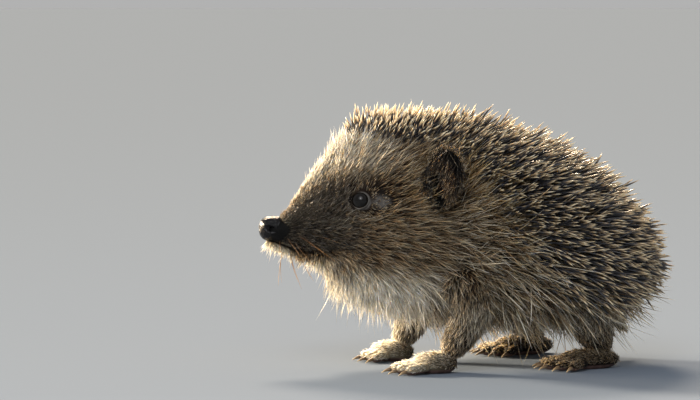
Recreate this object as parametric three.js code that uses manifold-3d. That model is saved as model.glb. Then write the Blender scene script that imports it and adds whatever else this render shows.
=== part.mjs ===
// A young hedgehog standing on four feet with its head held out and turned a little to its right.
// Millimetres, +Z up, the rump towards +X, the nose towards -X, the animal's left side towards -Y.
// Every surface is the outside of the coat, out to the tips of the spines and the fur. The trunk,
// neck and head are one loft along a bent midline, parted by thin cuts. "Along" is the distance
// from the nose tip on that midline, and "aside" the distance from it, positive to the left.
import * as THREE from "three";
import { mergeVertices } from "three/addons/utils/BufferGeometryUtils.js";
import Module from "manifold-3d";

const wasm = await Module();
wasm.setup();

// ---- driving dimensions -------------------------------------------------------------------
const LENGTH = 135; // nose tip to the spine tips of the rump, along the midline
const HEAD_TURN = THREE.MathUtils.degToRad(25); // how far the head looks to its right
const BEND_FROM = 40; // the neck bends between these two places along the midline
const BEND_TO = 80;
const GAP = 0.3; // clearance between parts that touch
const NOSE_LENGTH = 4.8;
const NOSE_ROUND = 4.2; // the nose tip rounds off over this length
const RUMP_ROUND = 46; // and the rump over this one

// The loft: at each place along, the height of the widest level, the rise above it, the drop
// below it and the half width.
const STATIONS = [
  { along: 0, level: 45.4, rise: 4.3, drop: 4.2, half: 4.2 },
  { along: 5, level: 45.3, rise: 4.9, drop: 5.4, half: 4.9 },
  { along: 9, level: 45.8, rise: 7.2, drop: 7.6, half: 6.0 },
  { along: 14, level: 46.6, rise: 14.2, drop: 11.0, half: 8.8 },
  { along: 20, level: 47.6, rise: 21.2, drop: 19.6, half: 11.8 },
  { along: 26, level: 48.6, rise: 31.2, drop: 24.6, half: 14.4 },
  { along: 32, level: 48.8, rise: 34.6, drop: 28.2, half: 17.0 },
  { along: 45, level: 46.0, rise: 39.0, drop: 30.4, half: 21.8 },
  { along: 58, level: 39.5, rise: 45.0, drop: 26.6, half: 27.6 },
  { along: 74, level: 32.5, rise: 50.0, drop: 21.0, half: 40.0 },
  { along: 90, level: 30.0, rise: 48.4, drop: 18.6, half: 45.6 },
  { along: 108, level: 29.5, rise: 43.6, drop: 18.0, half: 45.4 },
  { along: LENGTH, level: 29.0, rise: 37.0, drop: 15.0, half: 42.0 },
];
const BODY_SIDES = 32;
const BODY_RINGS = 36;
// Sides round and rings along each of the smaller shapes.
const FINENESS = {
  leg: [12, 10],
  tail: [10, 8],
  paw: [14, 8],
  toe: [6, 5],
  claw: [5, 4],
  ear: [18, 10],
  eye: [16, 10],
  socket: [14, 10],
  nostril: [8, 6],
};
const NOSE_CROWDING = 1.45; // rings crowd towards the nose by this power
const BELLY_FLATNESS = 0.8; // below the widest level the section is this much squarer

// The planes that part the head, the neck and the trunk lean back by this much.
const NECK_LEAN = THREE.MathUtils.degToRad(35);
const HEAD_CUT = { along: 50, height: 45 };
const TRUNK_CUT = { along: 61, height: 45 };

const MOUTH = { along: 21, height: 40.6, slope: THREE.MathUtils.degToRad(-5) };
const JAW_BEHIND_MOUTH = 5; // the jaw's own solid ends this far behind the corner of the mouth
const JAW_LEAN = THREE.MathUtils.degToRad(40);

const EYE = { along: 31.5, aside: 14.5, height: 54.8, radius: 2.9 };
const NOSTRIL = { along: 3.4, aside: 4.4, height: 45.6, radius: 1.3 };

const EAR = {
  along: 52.5,
  aside: 24.5,
  height: 62.5,
  width: 7.4,
  tall: 10.4,
  dish: 4.0,
  wall: 0.9,
  facing: THREE.MathUtils.degToRad(45), // from straight ahead, outwards
  lean: THREE.MathUtils.degToRad(12), // the top leans back
};

const TAIL = [
  { along: 116, height: 24, radius: 4.5 },
  { along: 124, height: 14.5, radius: 3.2 },
  { along: 129, height: 9, radius: 1.7 },
];

// Legs run from inside the body down into the paws. The right forepaw and the left hind paw
// stand a step ahead of the others.
const STEP = 7;
const FORELEG = {
  leg: [
    { along: 60, aside: 21, height: 32, radius: 10.5 },
    { along: 61, aside: 24, height: 19, radius: 8.4 },
    { along: 55, aside: 22, height: 4.6, radius: 4.4 },
  ],
  palm: { along: 52, aside: 21.5, height: 3.0, length: 7.6, width: 6.2, thick: 4.6 },
  toes: { count: 5, length: 5.0, radius: 1.6, fan: 0.6, claw: 3.4 },
};
const HINDLEG = {
  leg: [
    { along: 106, aside: 24, height: 34, radius: 14 },
    { along: 102, aside: 29, height: 18, radius: 9.6 },
    { along: 110, aside: 26, height: 4.6, radius: 4.6 },
  ],
  palm: { along: 104, aside: 26.5, height: 2.9, length: 11.8, width: 5.8, thick: 4.4 },
  toes: { count: 5, length: 5.0, radius: 1.6, fan: 0.45, claw: 3.4 },
};
// Toes start inside the palm and are spread over its width. The outer ones leave it further back.
const TOE_ROOT = 0.4;
const TOE_ROW = 0.72;
const OUTER_TOES_BACK = 0.2;
const TOE_HEIGHTS = { root: 1.5, knuckle: 1.35, tip: 0.85 }; // in toe radii, as the next one
const CLAW_HEIGHTS = { root: 1.3, middle: 1.15, tip: 0.35 };
const CLAW_RADII = { root: 0.7, middle: 0.55, tip: 0.28 };
const FOOT_SINK = 0.5; // soles reach this far under the floor before they are cut flat
const SPAN = 400; // larger than the animal

// ---- the midline --------------------------------------------------------------------------
const BEND_RADIUS = (BEND_TO - BEND_FROM) / HEAD_TURN;

// The heading at a place along: 0 straight ahead, growing towards the animal's right.
const heading = (along) =>
  HEAD_TURN * THREE.MathUtils.clamp((BEND_TO - along) / (BEND_TO - BEND_FROM), 0, 1);

// The point at a place along, aside and up. The trunk is a straight line, the neck an arc of
// a circle and the head a straight line again.
function at(along, aside, height) {
  const turn = heading(along);
  const straightHead = Math.max(BEND_FROM - along, 0);
  const trunk = Math.max(along - BEND_TO, 0);
  return new THREE.Vector3(
    trunk - BEND_RADIUS * Math.sin(turn) - straightHead * Math.cos(turn) - aside * Math.sin(turn),
    BEND_RADIUS * (1 - Math.cos(turn)) + straightHead * Math.sin(turn) - aside * Math.cos(turn),
    height,
  );
}

// ---- solids -------------------------------------------------------------------------------
// A three.js geometry as a manifold solid, turned right side out.
function solidOf(geometry) {
  const bare = new THREE.BufferGeometry();
  bare.setAttribute("position", geometry.getAttribute("position"));
  bare.setIndex(geometry.index);
  const merged = mergeVertices(bare, 1e-4);
  const triVerts = new Uint32Array(merged.index.array);
  const vertProperties = merged.attributes.position.array;
  const solid = new wasm.Manifold(new wasm.Mesh({ numProp: 3, vertProperties, triVerts }));
  if (solid.volume() > 0) return solid;
  for (let i = 0; i < triVerts.length; i += 3) {
    [triVerts[i + 1], triVerts[i + 2]] = [triVerts[i + 2], triVerts[i + 1]];
  }
  return new wasm.Manifold(new wasm.Mesh({ numProp: 3, vertProperties, triVerts }));
}

function geometryOf(solid) {
  const mesh = solid.getMesh();
  const positions = new Float32Array(mesh.numVert * 3);
  for (let i = 0; i < mesh.numVert; i++) {
    positions.set(mesh.vertProperties.subarray(i * mesh.numProp, i * mesh.numProp + 3), i * 3);
  }
  const geometry = new THREE.BufferGeometry();
  geometry.setAttribute("position", new THREE.BufferAttribute(positions, 3));
  geometry.setIndex(new THREE.BufferAttribute(mesh.triVerts, 1));
  const flat = geometry.toNonIndexed();
  flat.computeVertexNormals();
  return flat;
}

// What is left of a cut solid, without the crumbs.
const mainPiece = (solid) =>
  solid.decompose().reduce((most, piece) => (piece.volume() > most.volume() ? piece : most));

// A sphere's grid, each vertex moved to place(share of the way round, share from pole to pole).
function bentSphere(sides, rings, place) {
  const geometry = new THREE.SphereGeometry(1, sides, rings);
  const position = geometry.getAttribute("position");
  const uv = geometry.getAttribute("uv");
  for (let i = 0; i < position.count; i++) {
    const ring = Math.round((1 - uv.getY(i)) * rings);
    const pole = ring === 0 || ring === rings;
    const round = pole ? 0 : Math.round(uv.getX(i) * sides) % sides;
    const point = place(round / sides, ring / rings);
    position.setXYZ(i, point.x, point.y, point.z);
  }
  return solidOf(geometry);
}

// A tube along the points' curve, as thick as each point's radius says, with round ends.
function limb(points, sides, rings) {
  const curve = new THREE.CatmullRomCurve3(points.map((p) => at(p.along, p.aside ?? 0, p.height)));
  const radii = new THREE.CubicInterpolant(
    points.map((_, i) => i / (points.length - 1)),
    points.map((p) => p.radius),
    1,
    new Float32Array(1),
  );
  const frames = curve.computeFrenetFrames(rings, false);
  return bentSphere(sides, rings, (round, share) => {
    const i = Math.round(share * rings);
    const radius = radii.evaluate(share)[0] * Math.sqrt(Math.max(0, 1 - (2 * share - 1) ** 6));
    const angle = round * 2 * Math.PI;
    return curve
      .getPoint(share)
      .addScaledVector(frames.normals[i], radius * Math.cos(angle))
      .addScaledVector(frames.binormals[i], radius * Math.sin(angle));
  });
}

function ball(centre, radius, sides, rings) {
  const size = radius.isVector3 ? radius : new THREE.Vector3(radius, radius, radius);
  const geometry = new THREE.SphereGeometry(1, sides, rings);
  return solidOf(geometry.scale(size.x, size.y, size.z).translate(centre.x, centre.y, centre.z));
}

// Everything on the side of a plane that its normal points to.
function halfSpace(point, normal) {
  const block = new THREE.BoxGeometry(SPAN, SPAN, SPAN).translate(0, 0, SPAN / 2);
  const turn = new THREE.Quaternion().setFromUnitVectors(new THREE.Vector3(0, 0, 1), normal);
  return solidOf(block.applyQuaternion(turn).translate(point.x, point.y, point.z));
}

// The two sides of a cut across the midline, GAP apart. The plane's top leans to the rear.
function cutAcross(along, height, lean) {
  const point = at(along, 0, height);
  const turn = heading(along);
  const rear = new THREE.Vector3(
    Math.cos(turn) * Math.cos(lean),
    -Math.sin(turn) * Math.cos(lean),
    -Math.sin(lean),
  );
  const front = rear.clone().negate();
  return {
    front: halfSpace(point.clone().addScaledVector(front, GAP / 2), front),
    rear: halfSpace(point.clone().addScaledVector(rear, GAP / 2), rear),
  };
}

// ---- the body loft ------------------------------------------------------------------------
function stationCurve(size) {
  return new THREE.CubicInterpolant(
    STATIONS.map((s) => s.along),
    STATIONS.map((s) => s[size]),
    1,
    new Float32Array(1),
  );
}
const curves = {
  level: stationCurve("level"),
  rise: stationCurve("rise"),
  drop: stationCurve("drop"),
  half: stationCurve("half"),
};
const quarterRound = (share) => Math.sqrt(Math.max(0, 1 - (1 - Math.min(share, 1)) ** 2));

// The loft's point, a share of the way round from the top and a share of the way along. grow
// moves the surface out.
function bodyPoint(round, share, grow) {
  const along = LENGTH * share ** NOSE_CROWDING;
  const closing = quarterRound(along / NOSE_ROUND) * quarterRound((LENGTH - along) / RUMP_ROUND);
  const angle = round * 2 * Math.PI;
  const up = Math.cos(angle);
  const upper = up > 0;
  const side = Math.sin(angle);
  const flatness = upper ? 1 : BELLY_FLATNESS;
  const reach = (upper ? curves.rise : curves.drop).evaluate(along)[0] * closing + grow;
  const half = curves.half.evaluate(along)[0] * closing + grow;
  const height = curves.level.evaluate(along)[0] + Math.sign(up) * reach * Math.abs(up) ** flatness;
  return at(along, Math.sign(side) * half * Math.abs(side) ** flatness, height);
}

// At the two poles the whole ring has to be one point, so grow is left off there.
const bodyLoft = (grow) =>
  bentSphere(BODY_SIDES, BODY_RINGS, (round, share) =>
    bodyPoint(round, share, share === 0 || share === 1 ? 0 : grow),
  );

// ---- sub-parts ----------------------------------------------------------------------------
// An ear is a lens bent into a dish that faces forwards and outwards. side is 1 on the left.
function earSolid(side) {
  const turn = heading(EAR.along);
  const forwards = new THREE.Vector3(-Math.cos(turn), Math.sin(turn), 0);
  const outwards = new THREE.Vector3(-Math.sin(turn), -Math.cos(turn), 0).multiplyScalar(side);
  const facing = forwards
    .clone()
    .multiplyScalar(Math.cos(EAR.facing))
    .addScaledVector(outwards, Math.sin(EAR.facing));
  const across = outwards
    .clone()
    .multiplyScalar(Math.cos(EAR.facing))
    .addScaledVector(forwards, -Math.sin(EAR.facing));
  const up = new THREE.Vector3(0, 0, Math.cos(EAR.lean)).addScaledVector(facing, -Math.sin(EAR.lean));
  const centre = at(EAR.along, side * EAR.aside, EAR.height);
  const geometry = new THREE.SphereGeometry(1, ...FINENESS.ear);
  const position = geometry.getAttribute("position");
  for (let i = 0; i < position.count; i++) {
    const [a, b, c] = [position.getX(i), position.getZ(i), position.getY(i)];
    const depth = -EAR.dish * (1 - a * a - b * b) + EAR.wall * c;
    const point = centre
      .clone()
      .addScaledVector(across, EAR.width * a)
      .addScaledVector(up, EAR.tall * b)
      .addScaledVector(facing, depth);
    position.setXYZ(i, point.x, point.y, point.z);
  }
  return solidOf(geometry);
}

// A leg's points on one side, its foot moved ahead. The shoulder or hip stays where it is.
const legPoints = (points, side, ahead) =>
  points.map((p, i) => ({
    ...p,
    along: p.along - (ahead * i) / (points.length - 1),
    aside: side * p.aside,
  }));

// A paw is a flattened palm with toes fanned out in front of it, each ending in a claw.
function pawSolid(foot, side, ahead) {
  const { toes } = foot;
  const palm = { ...foot.palm, along: foot.palm.along - ahead };
  const size = new THREE.Vector3(palm.length, palm.width, palm.thick);
  const headingDegrees = THREE.MathUtils.radToDeg(heading(palm.along));
  let paw = ball(new THREE.Vector3(), size, ...FINENESS.paw)
    .rotate([0, 0, -headingDegrees])
    .translate(at(palm.along, side * palm.aside, palm.height).toArray());
  for (let i = 0; i < toes.count; i++) {
    const place = (2 * i) / (toes.count - 1) - 1; // -1 and 1 are the outer toes
    const fan = place * toes.fan;
    const knuckle = palm.length * (1 - OUTER_TOES_BACK * Math.abs(place));
    const tip = knuckle + toes.length;
    const point = (distance, heightInRadii, radius) => ({
      along: palm.along - distance * Math.cos(fan),
      aside: side * palm.aside + distance * Math.sin(fan) + place * palm.width * TOE_ROW,
      height: toes.radius * heightInRadii,
      radius,
    });
    const toe = [
      point(palm.length * TOE_ROOT, TOE_HEIGHTS.root, toes.radius),
      point(knuckle, TOE_HEIGHTS.knuckle, toes.radius),
      point(tip, TOE_HEIGHTS.tip, toes.radius),
    ];
    const claw = [
      point(tip - toes.radius, CLAW_HEIGHTS.root, CLAW_RADII.root),
      point(tip + toes.claw / 2, CLAW_HEIGHTS.middle, CLAW_RADII.middle),
      point(tip + toes.claw, CLAW_HEIGHTS.tip, CLAW_RADII.tip),
    ];
    paw = paw.add(limb(toe, ...FINENESS.toe)).add(limb(claw, ...FINENESS.claw));
  }
  return paw;
}

const MATERIALS = {
  spines: new THREE.MeshStandardMaterial({ color: 0x6b6052, roughness: 0.6, metalness: 0 }),
  fur: new THREE.MeshStandardMaterial({ color: 0x7d6a50, roughness: 0.85, metalness: 0 }),
  face: new THREE.MeshStandardMaterial({ color: 0x5d5348, roughness: 0.85, metalness: 0 }),
  nose: new THREE.MeshStandardMaterial({ color: 0x1a1718, roughness: 0.3, metalness: 0 }),
  ear: new THREE.MeshStandardMaterial({ color: 0x4a443c, roughness: 0.8, metalness: 0 }),
  eye: new THREE.MeshStandardMaterial({ color: 0x0b0807, roughness: 0.05, metalness: 0 }),
  paw: new THREE.MeshStandardMaterial({ color: 0x584a41, roughness: 0.7, metalness: 0 }),
};

const hedgehog = new THREE.Group();
function addPart(name, solid, material) {
  const mesh = new THREE.Mesh(geometryOf(mainPiece(solid)), material);
  mesh.name = name;
  hedgehog.add(mesh);
}

const body = bodyLoft(0);
const bodyAndGap = bodyLoft(GAP);
const headCut = cutAcross(HEAD_CUT.along, HEAD_CUT.height, NECK_LEAN);
const trunkCut = cutAcross(TRUNK_CUT.along, TRUNK_CUT.height, NECK_LEAN);
const noseCut = cutAcross(NOSE_LENGTH, STATIONS[0].level, 0);

// The lower jaw is what lies under the mouth line and in front of its corner. grow widens that space.
const underMouth = new THREE.Vector3(
  Math.cos(HEAD_TURN) * Math.sin(MOUTH.slope),
  -Math.sin(HEAD_TURN) * Math.sin(MOUTH.slope),
  -Math.cos(MOUTH.slope),
);
const jawSpace = (grow) =>
  halfSpace(at(MOUTH.along, 0, MOUTH.height).addScaledVector(underMouth, -grow), underMouth).intersect(
    cutAcross(MOUTH.along + JAW_BEHIND_MOUTH + grow, MOUTH.height, -JAW_LEAN).front,
  );

const wholeHead = body.intersect(headCut.front).intersect(noseCut.rear);
let head = wholeHead.subtract(jawSpace(GAP));
let nose = body.intersect(noseCut.front);
for (const [name, side] of [["left", 1], ["right", -1]]) {
  const eye = at(EYE.along, side * EYE.aside, EYE.height);
  head = head.subtract(ball(eye, EYE.radius + GAP, ...FINENESS.socket));
  addPart("eye_" + name, ball(eye, EYE.radius, ...FINENESS.eye), MATERIALS.eye);
  const nostril = at(NOSTRIL.along, side * NOSTRIL.aside, NOSTRIL.height);
  nose = nose.subtract(ball(nostril, NOSTRIL.radius, ...FINENESS.nostril));
  addPart("ear_" + name, earSolid(side).subtract(bodyAndGap), MATERIALS.ear);
}
addPart("nose", nose, MATERIALS.nose);
addPart("head", head, MATERIALS.face);
addPart("lower_jaw", wholeHead.intersect(jawSpace(0)), MATERIALS.face);
addPart("neck", body.intersect(headCut.rear).intersect(trunkCut.front), MATERIALS.fur);
addPart("trunk", body.intersect(trunkCut.rear), MATERIALS.spines);
addPart("tail", limb(TAIL, ...FINENESS.tail).subtract(bodyAndGap), MATERIALS.fur);

// Legs stop at the body, paws stop at the legs, and the soles are cut flat at the floor.
const floor = halfSpace(new THREE.Vector3(), new THREE.Vector3(0, 0, 1));
for (const [kind, foot, stepSide] of [["fore", FORELEG, -1], ["hind", HINDLEG, 1]]) {
  for (const [name, side] of [["left", 1], ["right", -1]]) {
    const ahead = side === stepSide ? STEP : 0;
    const points = legPoints(foot.leg, side, ahead);
    const thicker = points.map((p) => ({ ...p, radius: p.radius + GAP }));
    const paw = pawSolid(foot, side, ahead).translate([0, 0, -FOOT_SINK]).intersect(floor);
    addPart(kind + "leg_" + name, limb(points, ...FINENESS.leg).subtract(bodyAndGap), MATERIALS.fur);
    addPart(
      kind + "paw_" + name,
      paw.subtract(limb(thicker, ...FINENESS.leg)).subtract(bodyAndGap),
      MATERIALS.paw,
    );
  }
}

// The origin is under the middle of the animal, on the floor.
const box = new THREE.Box3().setFromObject(hedgehog);
const middle = box.getCenter(new THREE.Vector3());
hedgehog.position.set(-middle.x, -middle.y, 0);

export default hedgehog;
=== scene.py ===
# %% [markdown]
# # A young hedgehog, life size
#
# The animal stands on four feet with its head held out and turned a little to its right. A
# hedgehog is two coats on one skin: spines over the back, like a cap pulled down to the brow, and
# coarse hair everywhere else. So the work goes in that order: the bare animal first, then the
# spines, then the hair, each as solid strands that follow the lie of the coat.
#
# The fixed frame is loaded first. Its solids are the outside of the coat, so the skin made here
# lies inside them by the depth of the coat.

# %% The fixed frame
import math

import bmesh
import bpy
import numpy as np
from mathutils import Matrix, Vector


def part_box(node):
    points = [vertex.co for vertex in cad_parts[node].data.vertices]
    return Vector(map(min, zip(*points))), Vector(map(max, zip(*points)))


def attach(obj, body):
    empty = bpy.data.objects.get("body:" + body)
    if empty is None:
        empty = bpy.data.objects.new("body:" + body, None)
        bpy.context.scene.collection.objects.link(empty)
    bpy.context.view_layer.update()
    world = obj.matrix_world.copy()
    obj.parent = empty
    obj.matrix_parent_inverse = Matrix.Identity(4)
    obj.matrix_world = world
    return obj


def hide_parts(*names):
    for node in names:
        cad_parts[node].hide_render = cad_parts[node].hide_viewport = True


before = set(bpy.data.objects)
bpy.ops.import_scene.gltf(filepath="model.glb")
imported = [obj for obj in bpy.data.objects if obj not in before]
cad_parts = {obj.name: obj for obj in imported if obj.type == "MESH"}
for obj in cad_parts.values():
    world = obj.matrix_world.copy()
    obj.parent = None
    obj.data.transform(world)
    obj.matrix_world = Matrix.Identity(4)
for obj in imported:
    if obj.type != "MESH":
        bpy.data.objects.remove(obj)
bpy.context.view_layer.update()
print("frame holds", len(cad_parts), "solids")

# %% [markdown]
# ## The midline
#
# All places on the animal are given in millimetres along its midline, counted from the nose tip,
# aside from it, positive to the left, and up from the floor. The trunk is straight, the neck
# bends over an arc of a circle and the head is straight again. The way back, from a point in
# space to its place on the midline, is needed for markings, so it is written down too.

# %% Places on the bent midline
MM = 0.001
HEAD_TURN = math.radians(25)
BEND_FROM, BEND_TO = 40.0, 80.0
BEND_RADIUS = (BEND_TO - BEND_FROM) / HEAD_TURN
EYE = {"along": 31.5, "aside": 14.5, "height": 54.8, "radius": 3.05}


def turn_at(along):
    """How far the midline is turned at a place: it grows evenly through the bend."""
    return HEAD_TURN * np.clip((BEND_TO - along) / (BEND_TO - BEND_FROM), 0, 1)


def at(along, aside, height):
    """Points in mm: the arc's own point, plus the straight stretch ahead or behind, plus aside
    across the heading."""
    along, aside, height = np.broadcast_arrays(
        *(np.asarray(size, float) for size in (along, aside, height))
    )
    turn = turn_at(along)
    ahead = np.maximum(BEND_FROM - along, 0)
    behind = np.maximum(along - BEND_TO, 0)
    sine, cosine = np.sin(turn), np.cos(turn)
    x = behind - BEND_RADIUS * sine - ahead * cosine - aside * sine
    y = BEND_RADIUS * (1 - cosine) + ahead * sine - aside * cosine
    return np.stack([x, y, height], -1) + shift


def place_of(points):
    """The way back: along, aside and height of points. In the bend, the angle round the arc's
    centre gives along and the distance from that centre gives aside."""
    x, y, height = np.moveaxis(points - shift, -1, 0)
    turn = np.arctan2(-x, BEND_RADIUS - y)
    sine, cosine = math.sin(HEAD_TURN), math.cos(HEAD_TURN)
    from_bend_x = x + BEND_RADIUS * sine
    from_bend_y = y - BEND_RADIUS * (1 - cosine)
    ahead = -from_bend_x * cosine + from_bend_y * sine
    along = np.where(x > 0, BEND_TO + x, BEND_TO - turn * BEND_RADIUS)
    aside = np.where(x > 0, -y, np.hypot(x, BEND_RADIUS - y) - BEND_RADIUS)
    in_head = (x < 0) & (turn > HEAD_TURN)
    along = np.where(in_head, BEND_FROM - ahead, along)
    aside = np.where(in_head, -from_bend_x * sine - from_bend_y * cosine, aside)
    return along, aside, height


def from_eye_middle(along, height):
    """Distance from the middle of the eye, seen from the side."""
    return np.hypot(along - EYE["along"], height - EYE["height"])


shift = np.zeros(3)
eye_low, eye_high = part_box("eye_left")
eye_middle = np.array((eye_low + eye_high) / 2) / MM
shift = eye_middle - at(EYE["along"], EYE["aside"], EYE["height"])
print("midline shifted by", shift.round(2), "mm")

# %% [markdown]
# ## Small tools
#
# A size that changes along the body is a smooth curve through a few stated values. A surface is
# a function of two shares between 0 and 1, its points worked out as one array. Its neighbours a
# hair's breadth away give the two directions in the surface and the direction out of it.

# %% Curves, directions and shares
def through(places, sizes, x):
    """Cubic pieces through the stated sizes. The slope at each place is the mean of the slopes on
    both sides, each weighted by the length of the other."""
    places, sizes = np.asarray(places, float), np.asarray(sizes, float)
    steps = np.diff(places)
    slopes = np.diff(sizes) / steps
    inner = (slopes[:-1] * steps[1:] + slopes[1:] * steps[:-1]) / (steps[1:] + steps[:-1])
    tangents = np.concatenate([slopes[:1], inner, slopes[-1:]])
    x = np.clip(x, places[0], places[-1])
    i = np.clip(np.searchsorted(places, x, side="right") - 1, 0, len(steps) - 1)
    t = (x - places[i]) / steps[i]
    start = sizes[i] * (1 + 2 * t) * (1 - t) ** 2 + tangents[i] * steps[i] * t * (1 - t) ** 2
    end = sizes[i + 1] * t**2 * (3 - 2 * t) - tangents[i + 1] * steps[i] * t**2 * (1 - t)
    return start + end


def ease(low, high, x):
    """0 below low, 1 above high, and 3t² - 2t³ between them."""
    t = np.clip((x - low) / (high - low), 0, 1)
    return t * t * (3 - 2 * t)


def hump(x, middle, spread):
    """A bell: 1 at the middle, falling off as exp(-d²)."""
    return np.exp(-(((x - middle) / spread) ** 2))


def spot(along, height, middle, spread):
    """A bell on the side of the body: one along it times one up it."""
    return hump(along, middle[0], spread[0]) * hump(height, middle[1], spread[1])


def unit(vectors):
    """Each vector divided by its length."""
    return vectors / np.maximum(np.linalg.norm(vectors, axis=-1, keepdims=True), 1e-9)


def directions(surface, u, v, step=1e-3):
    """Point, unit direction of growing u, unit direction of growing v, and the outward normal,
    which is the cross product of the second with the first, for a surface of two shares."""
    along_u = unit(surface(u + step, v) - surface(np.maximum(u - step, 0), v))
    along_v = unit(surface(u, v + step) - surface(u, v - step))
    normal = unit(np.cross(along_v, along_u))
    return surface(u, v), along_u, along_v, normal


def waves(points, wavelength, seed, count=5):
    """Smooth random vectors: a sum of sines of the place, each in its own direction."""
    chance = np.random.default_rng(seed)
    axes = unit(chance.normal(size=(count, 3))) * 2 * np.pi / wavelength
    phases = chance.uniform(0, 2 * np.pi, (count, 3))
    pushes = chance.normal(size=(count, 3))
    swing = np.sin(np.einsum("nj,kj->nk", points, axes)[..., None] + phases)
    return (swing * pushes).sum(1) / count**0.5


# %% [markdown]
# ## Meshes from grids
#
# Most parts of a body are bent balls: rings of points with a pole at each end. One function turns
# such a grid into a closed mesh with its faces outwards. A second one applies a mesh's modifiers,
# and a third one joins overlapping parts into one skin without inner walls.

# %% A closed mesh from rings
def closed_mesh(name, points):
    """Object from a grid of rings in mm. The first and last rings are poles: one point is kept of
    each."""
    rows, columns = points.shape[:2]
    middle = points[1:-1].reshape(-1, 3)
    vertices = np.concatenate([points[0, :1], middle, points[-1, :1]]) * MM
    ring = 1 + columns * np.arange(rows - 2)[:, None] + np.arange(columns)
    after = np.roll(ring, -1, axis=1)
    walls = np.stack([ring[:-1], after[:-1], after[1:], ring[1:]], -1).reshape(-1, 4)
    first = np.stack([np.zeros(columns, int), after[0], ring[0]], -1)
    last = np.stack([ring[-1], after[-1], np.full(columns, len(vertices) - 1)], -1)
    mesh = bpy.data.meshes.new(name)
    mesh.from_pydata(vertices.tolist(), [], walls.tolist() + first.tolist() + last.tolist())
    probe = bmesh.new()
    probe.from_mesh(mesh)
    if probe.calc_volume(signed=True) < 0:
        mesh.flip_normals()
    probe.free()
    mesh.shade_smooth()
    thing = bpy.data.objects.new(name, mesh)
    bpy.context.scene.collection.objects.link(thing)
    return thing


def apply_modifiers(thing):
    """Replaces the object's mesh with the one its modifiers make, and drops the modifiers."""
    evaluated = thing.evaluated_get(bpy.context.evaluated_depsgraph_get())
    mesh = bpy.data.meshes.new_from_object(evaluated)
    thing.modifiers.clear()
    thing.data = mesh
    mesh.shade_smooth()


def join(base, others):
    """The union of base and the others, left in base."""
    for other in others:
        union = base.modifiers.new("union", "BOOLEAN")
        union.operation = "UNION"
        union.solver = "MANIFOLD"
        union.object = other
    apply_modifiers(base)
    for other in others:
        bpy.data.objects.remove(other)
    return base


def coordinates(thing):
    """The object's vertices, in mm."""
    flat = np.empty(3 * len(thing.data.vertices))
    thing.data.vertices.foreach_get("co", flat)
    return flat.reshape(-1, 3) / MM


def move_vertices(thing, points):
    """Puts the vertices at the points, given in mm."""
    thing.data.vertices.foreach_set("co", (points * MM).ravel())
    thing.data.update()


# %% [markdown]
# ## The bare body
#
# Under its spines a hedgehog is a pear with a cone in front: a steep brow, a straight muzzle and
# a back that is highest over the shoulders. The body could be sculpted from a ball, but the same
# surface also has to say where each spine and hair grows. So it is a loft with a formula: at
# each place along, a top, a widest level, a bottom and a half width, joined by rounded sections.

# %% The body's sizes
# Columns: along, top, widest level, bottom, half width, in mm.
STATIONS = np.array(
    [
        [1.0, 45.2, 42.9, 40.7, 3.0],
        [3.0, 47.2, 43.8, 39.9, 4.1],
        [6.0, 49.0, 44.8, 39.0, 4.8],
        [8.3, 51.0, 45.2, 38.3, 5.3],
        [11.0, 55.0, 45.4, 37.4, 6.1],
        [14.0, 59.6, 45.8, 36.0, 7.6],
        [17.0, 63.4, 46.2, 34.6, 9.1],
        [20.0, 66.2, 46.6, 33.2, 10.6],
        [26.0, 71.2, 47.6, 30.2, 13.6],
        [32.0, 73.8, 48.2, 27.4, 16.0],
        [38.0, 74.0, 48.2, 25.2, 17.8],
        [45.0, 74.0, 46.4, 23.4, 19.0],
        [52.0, 73.6, 43.6, 22.0, 20.4],
        [60.0, 72.8, 40.4, 20.6, 23.2],
        [75.0, 69.0, 35.6, 18.6, 31.0],
        [90.0, 63.8, 33.2, 17.6, 35.6],
        [107.0, 55.6, 32.4, 17.2, 35.2],
        [125.0, 50.0, 32.0, 17.0, 33.6],
    ]
)
BODY_START, BODY_END = STATIONS[0, 0], STATIONS[-1, 0]
MUZZLE_ROUND, RUMP_ROUND = 2.2, 34.0
BELLY_SQUARENESS = 0.82


def rounded_end(distance, length):
    """A quarter ellipse: the square root of 1 - (1 - distance / length)²."""
    return np.sqrt(np.clip(1 - (1 - np.clip(distance / length, 0, 1)) ** 2, 0, 1))


def body_sizes(along):
    """Top, widest level, bottom and half width of the body, before its ends close."""
    return [through(STATIONS[:, 0], sizes, along) for sizes in STATIONS.T[1:]]


def closing_at(along):
    """How much of the section is left at a place: 0 at both poles, 1 over most of the body."""
    muzzle = rounded_end(along - BODY_START, MUZZLE_ROUND)
    return muzzle * rounded_end(BODY_END - along, RUMP_ROUND)


def section(along, angle):
    """Aside and height of the body at an angle from the top, positive to the left. Above the widest
    level the section is half an ellipse, below it a squarer one."""
    top, level, bottom, half = body_sizes(along)
    closing = closing_at(along)
    up, side = np.cos(angle), np.sin(angle)
    power = np.where(up > 0, 1.0, BELLY_SQUARENESS)
    reach = np.where(up > 0, top - level, level - bottom)
    aside = closing * half * np.sign(side) * np.abs(side) ** power
    height = level + closing * reach * np.sign(up) * np.abs(up) ** power
    return aside, height


def along_of(u):
    """The place along at a share of the way from the muzzle to the rump."""
    return BODY_START + (BODY_END - BODY_START) * np.asarray(u, float)


def share_of(along):
    """The way back, from a place along to its share."""
    return (along - BODY_START) / (BODY_END - BODY_START)


def plain_body(u, v):
    """The smooth body: u runs from the muzzle to the rump, v once round, from the top to the
    left."""
    along = along_of(u)
    aside, height = section(along, 2 * np.pi * np.asarray(v, float))
    return at(along, aside, height)
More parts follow.
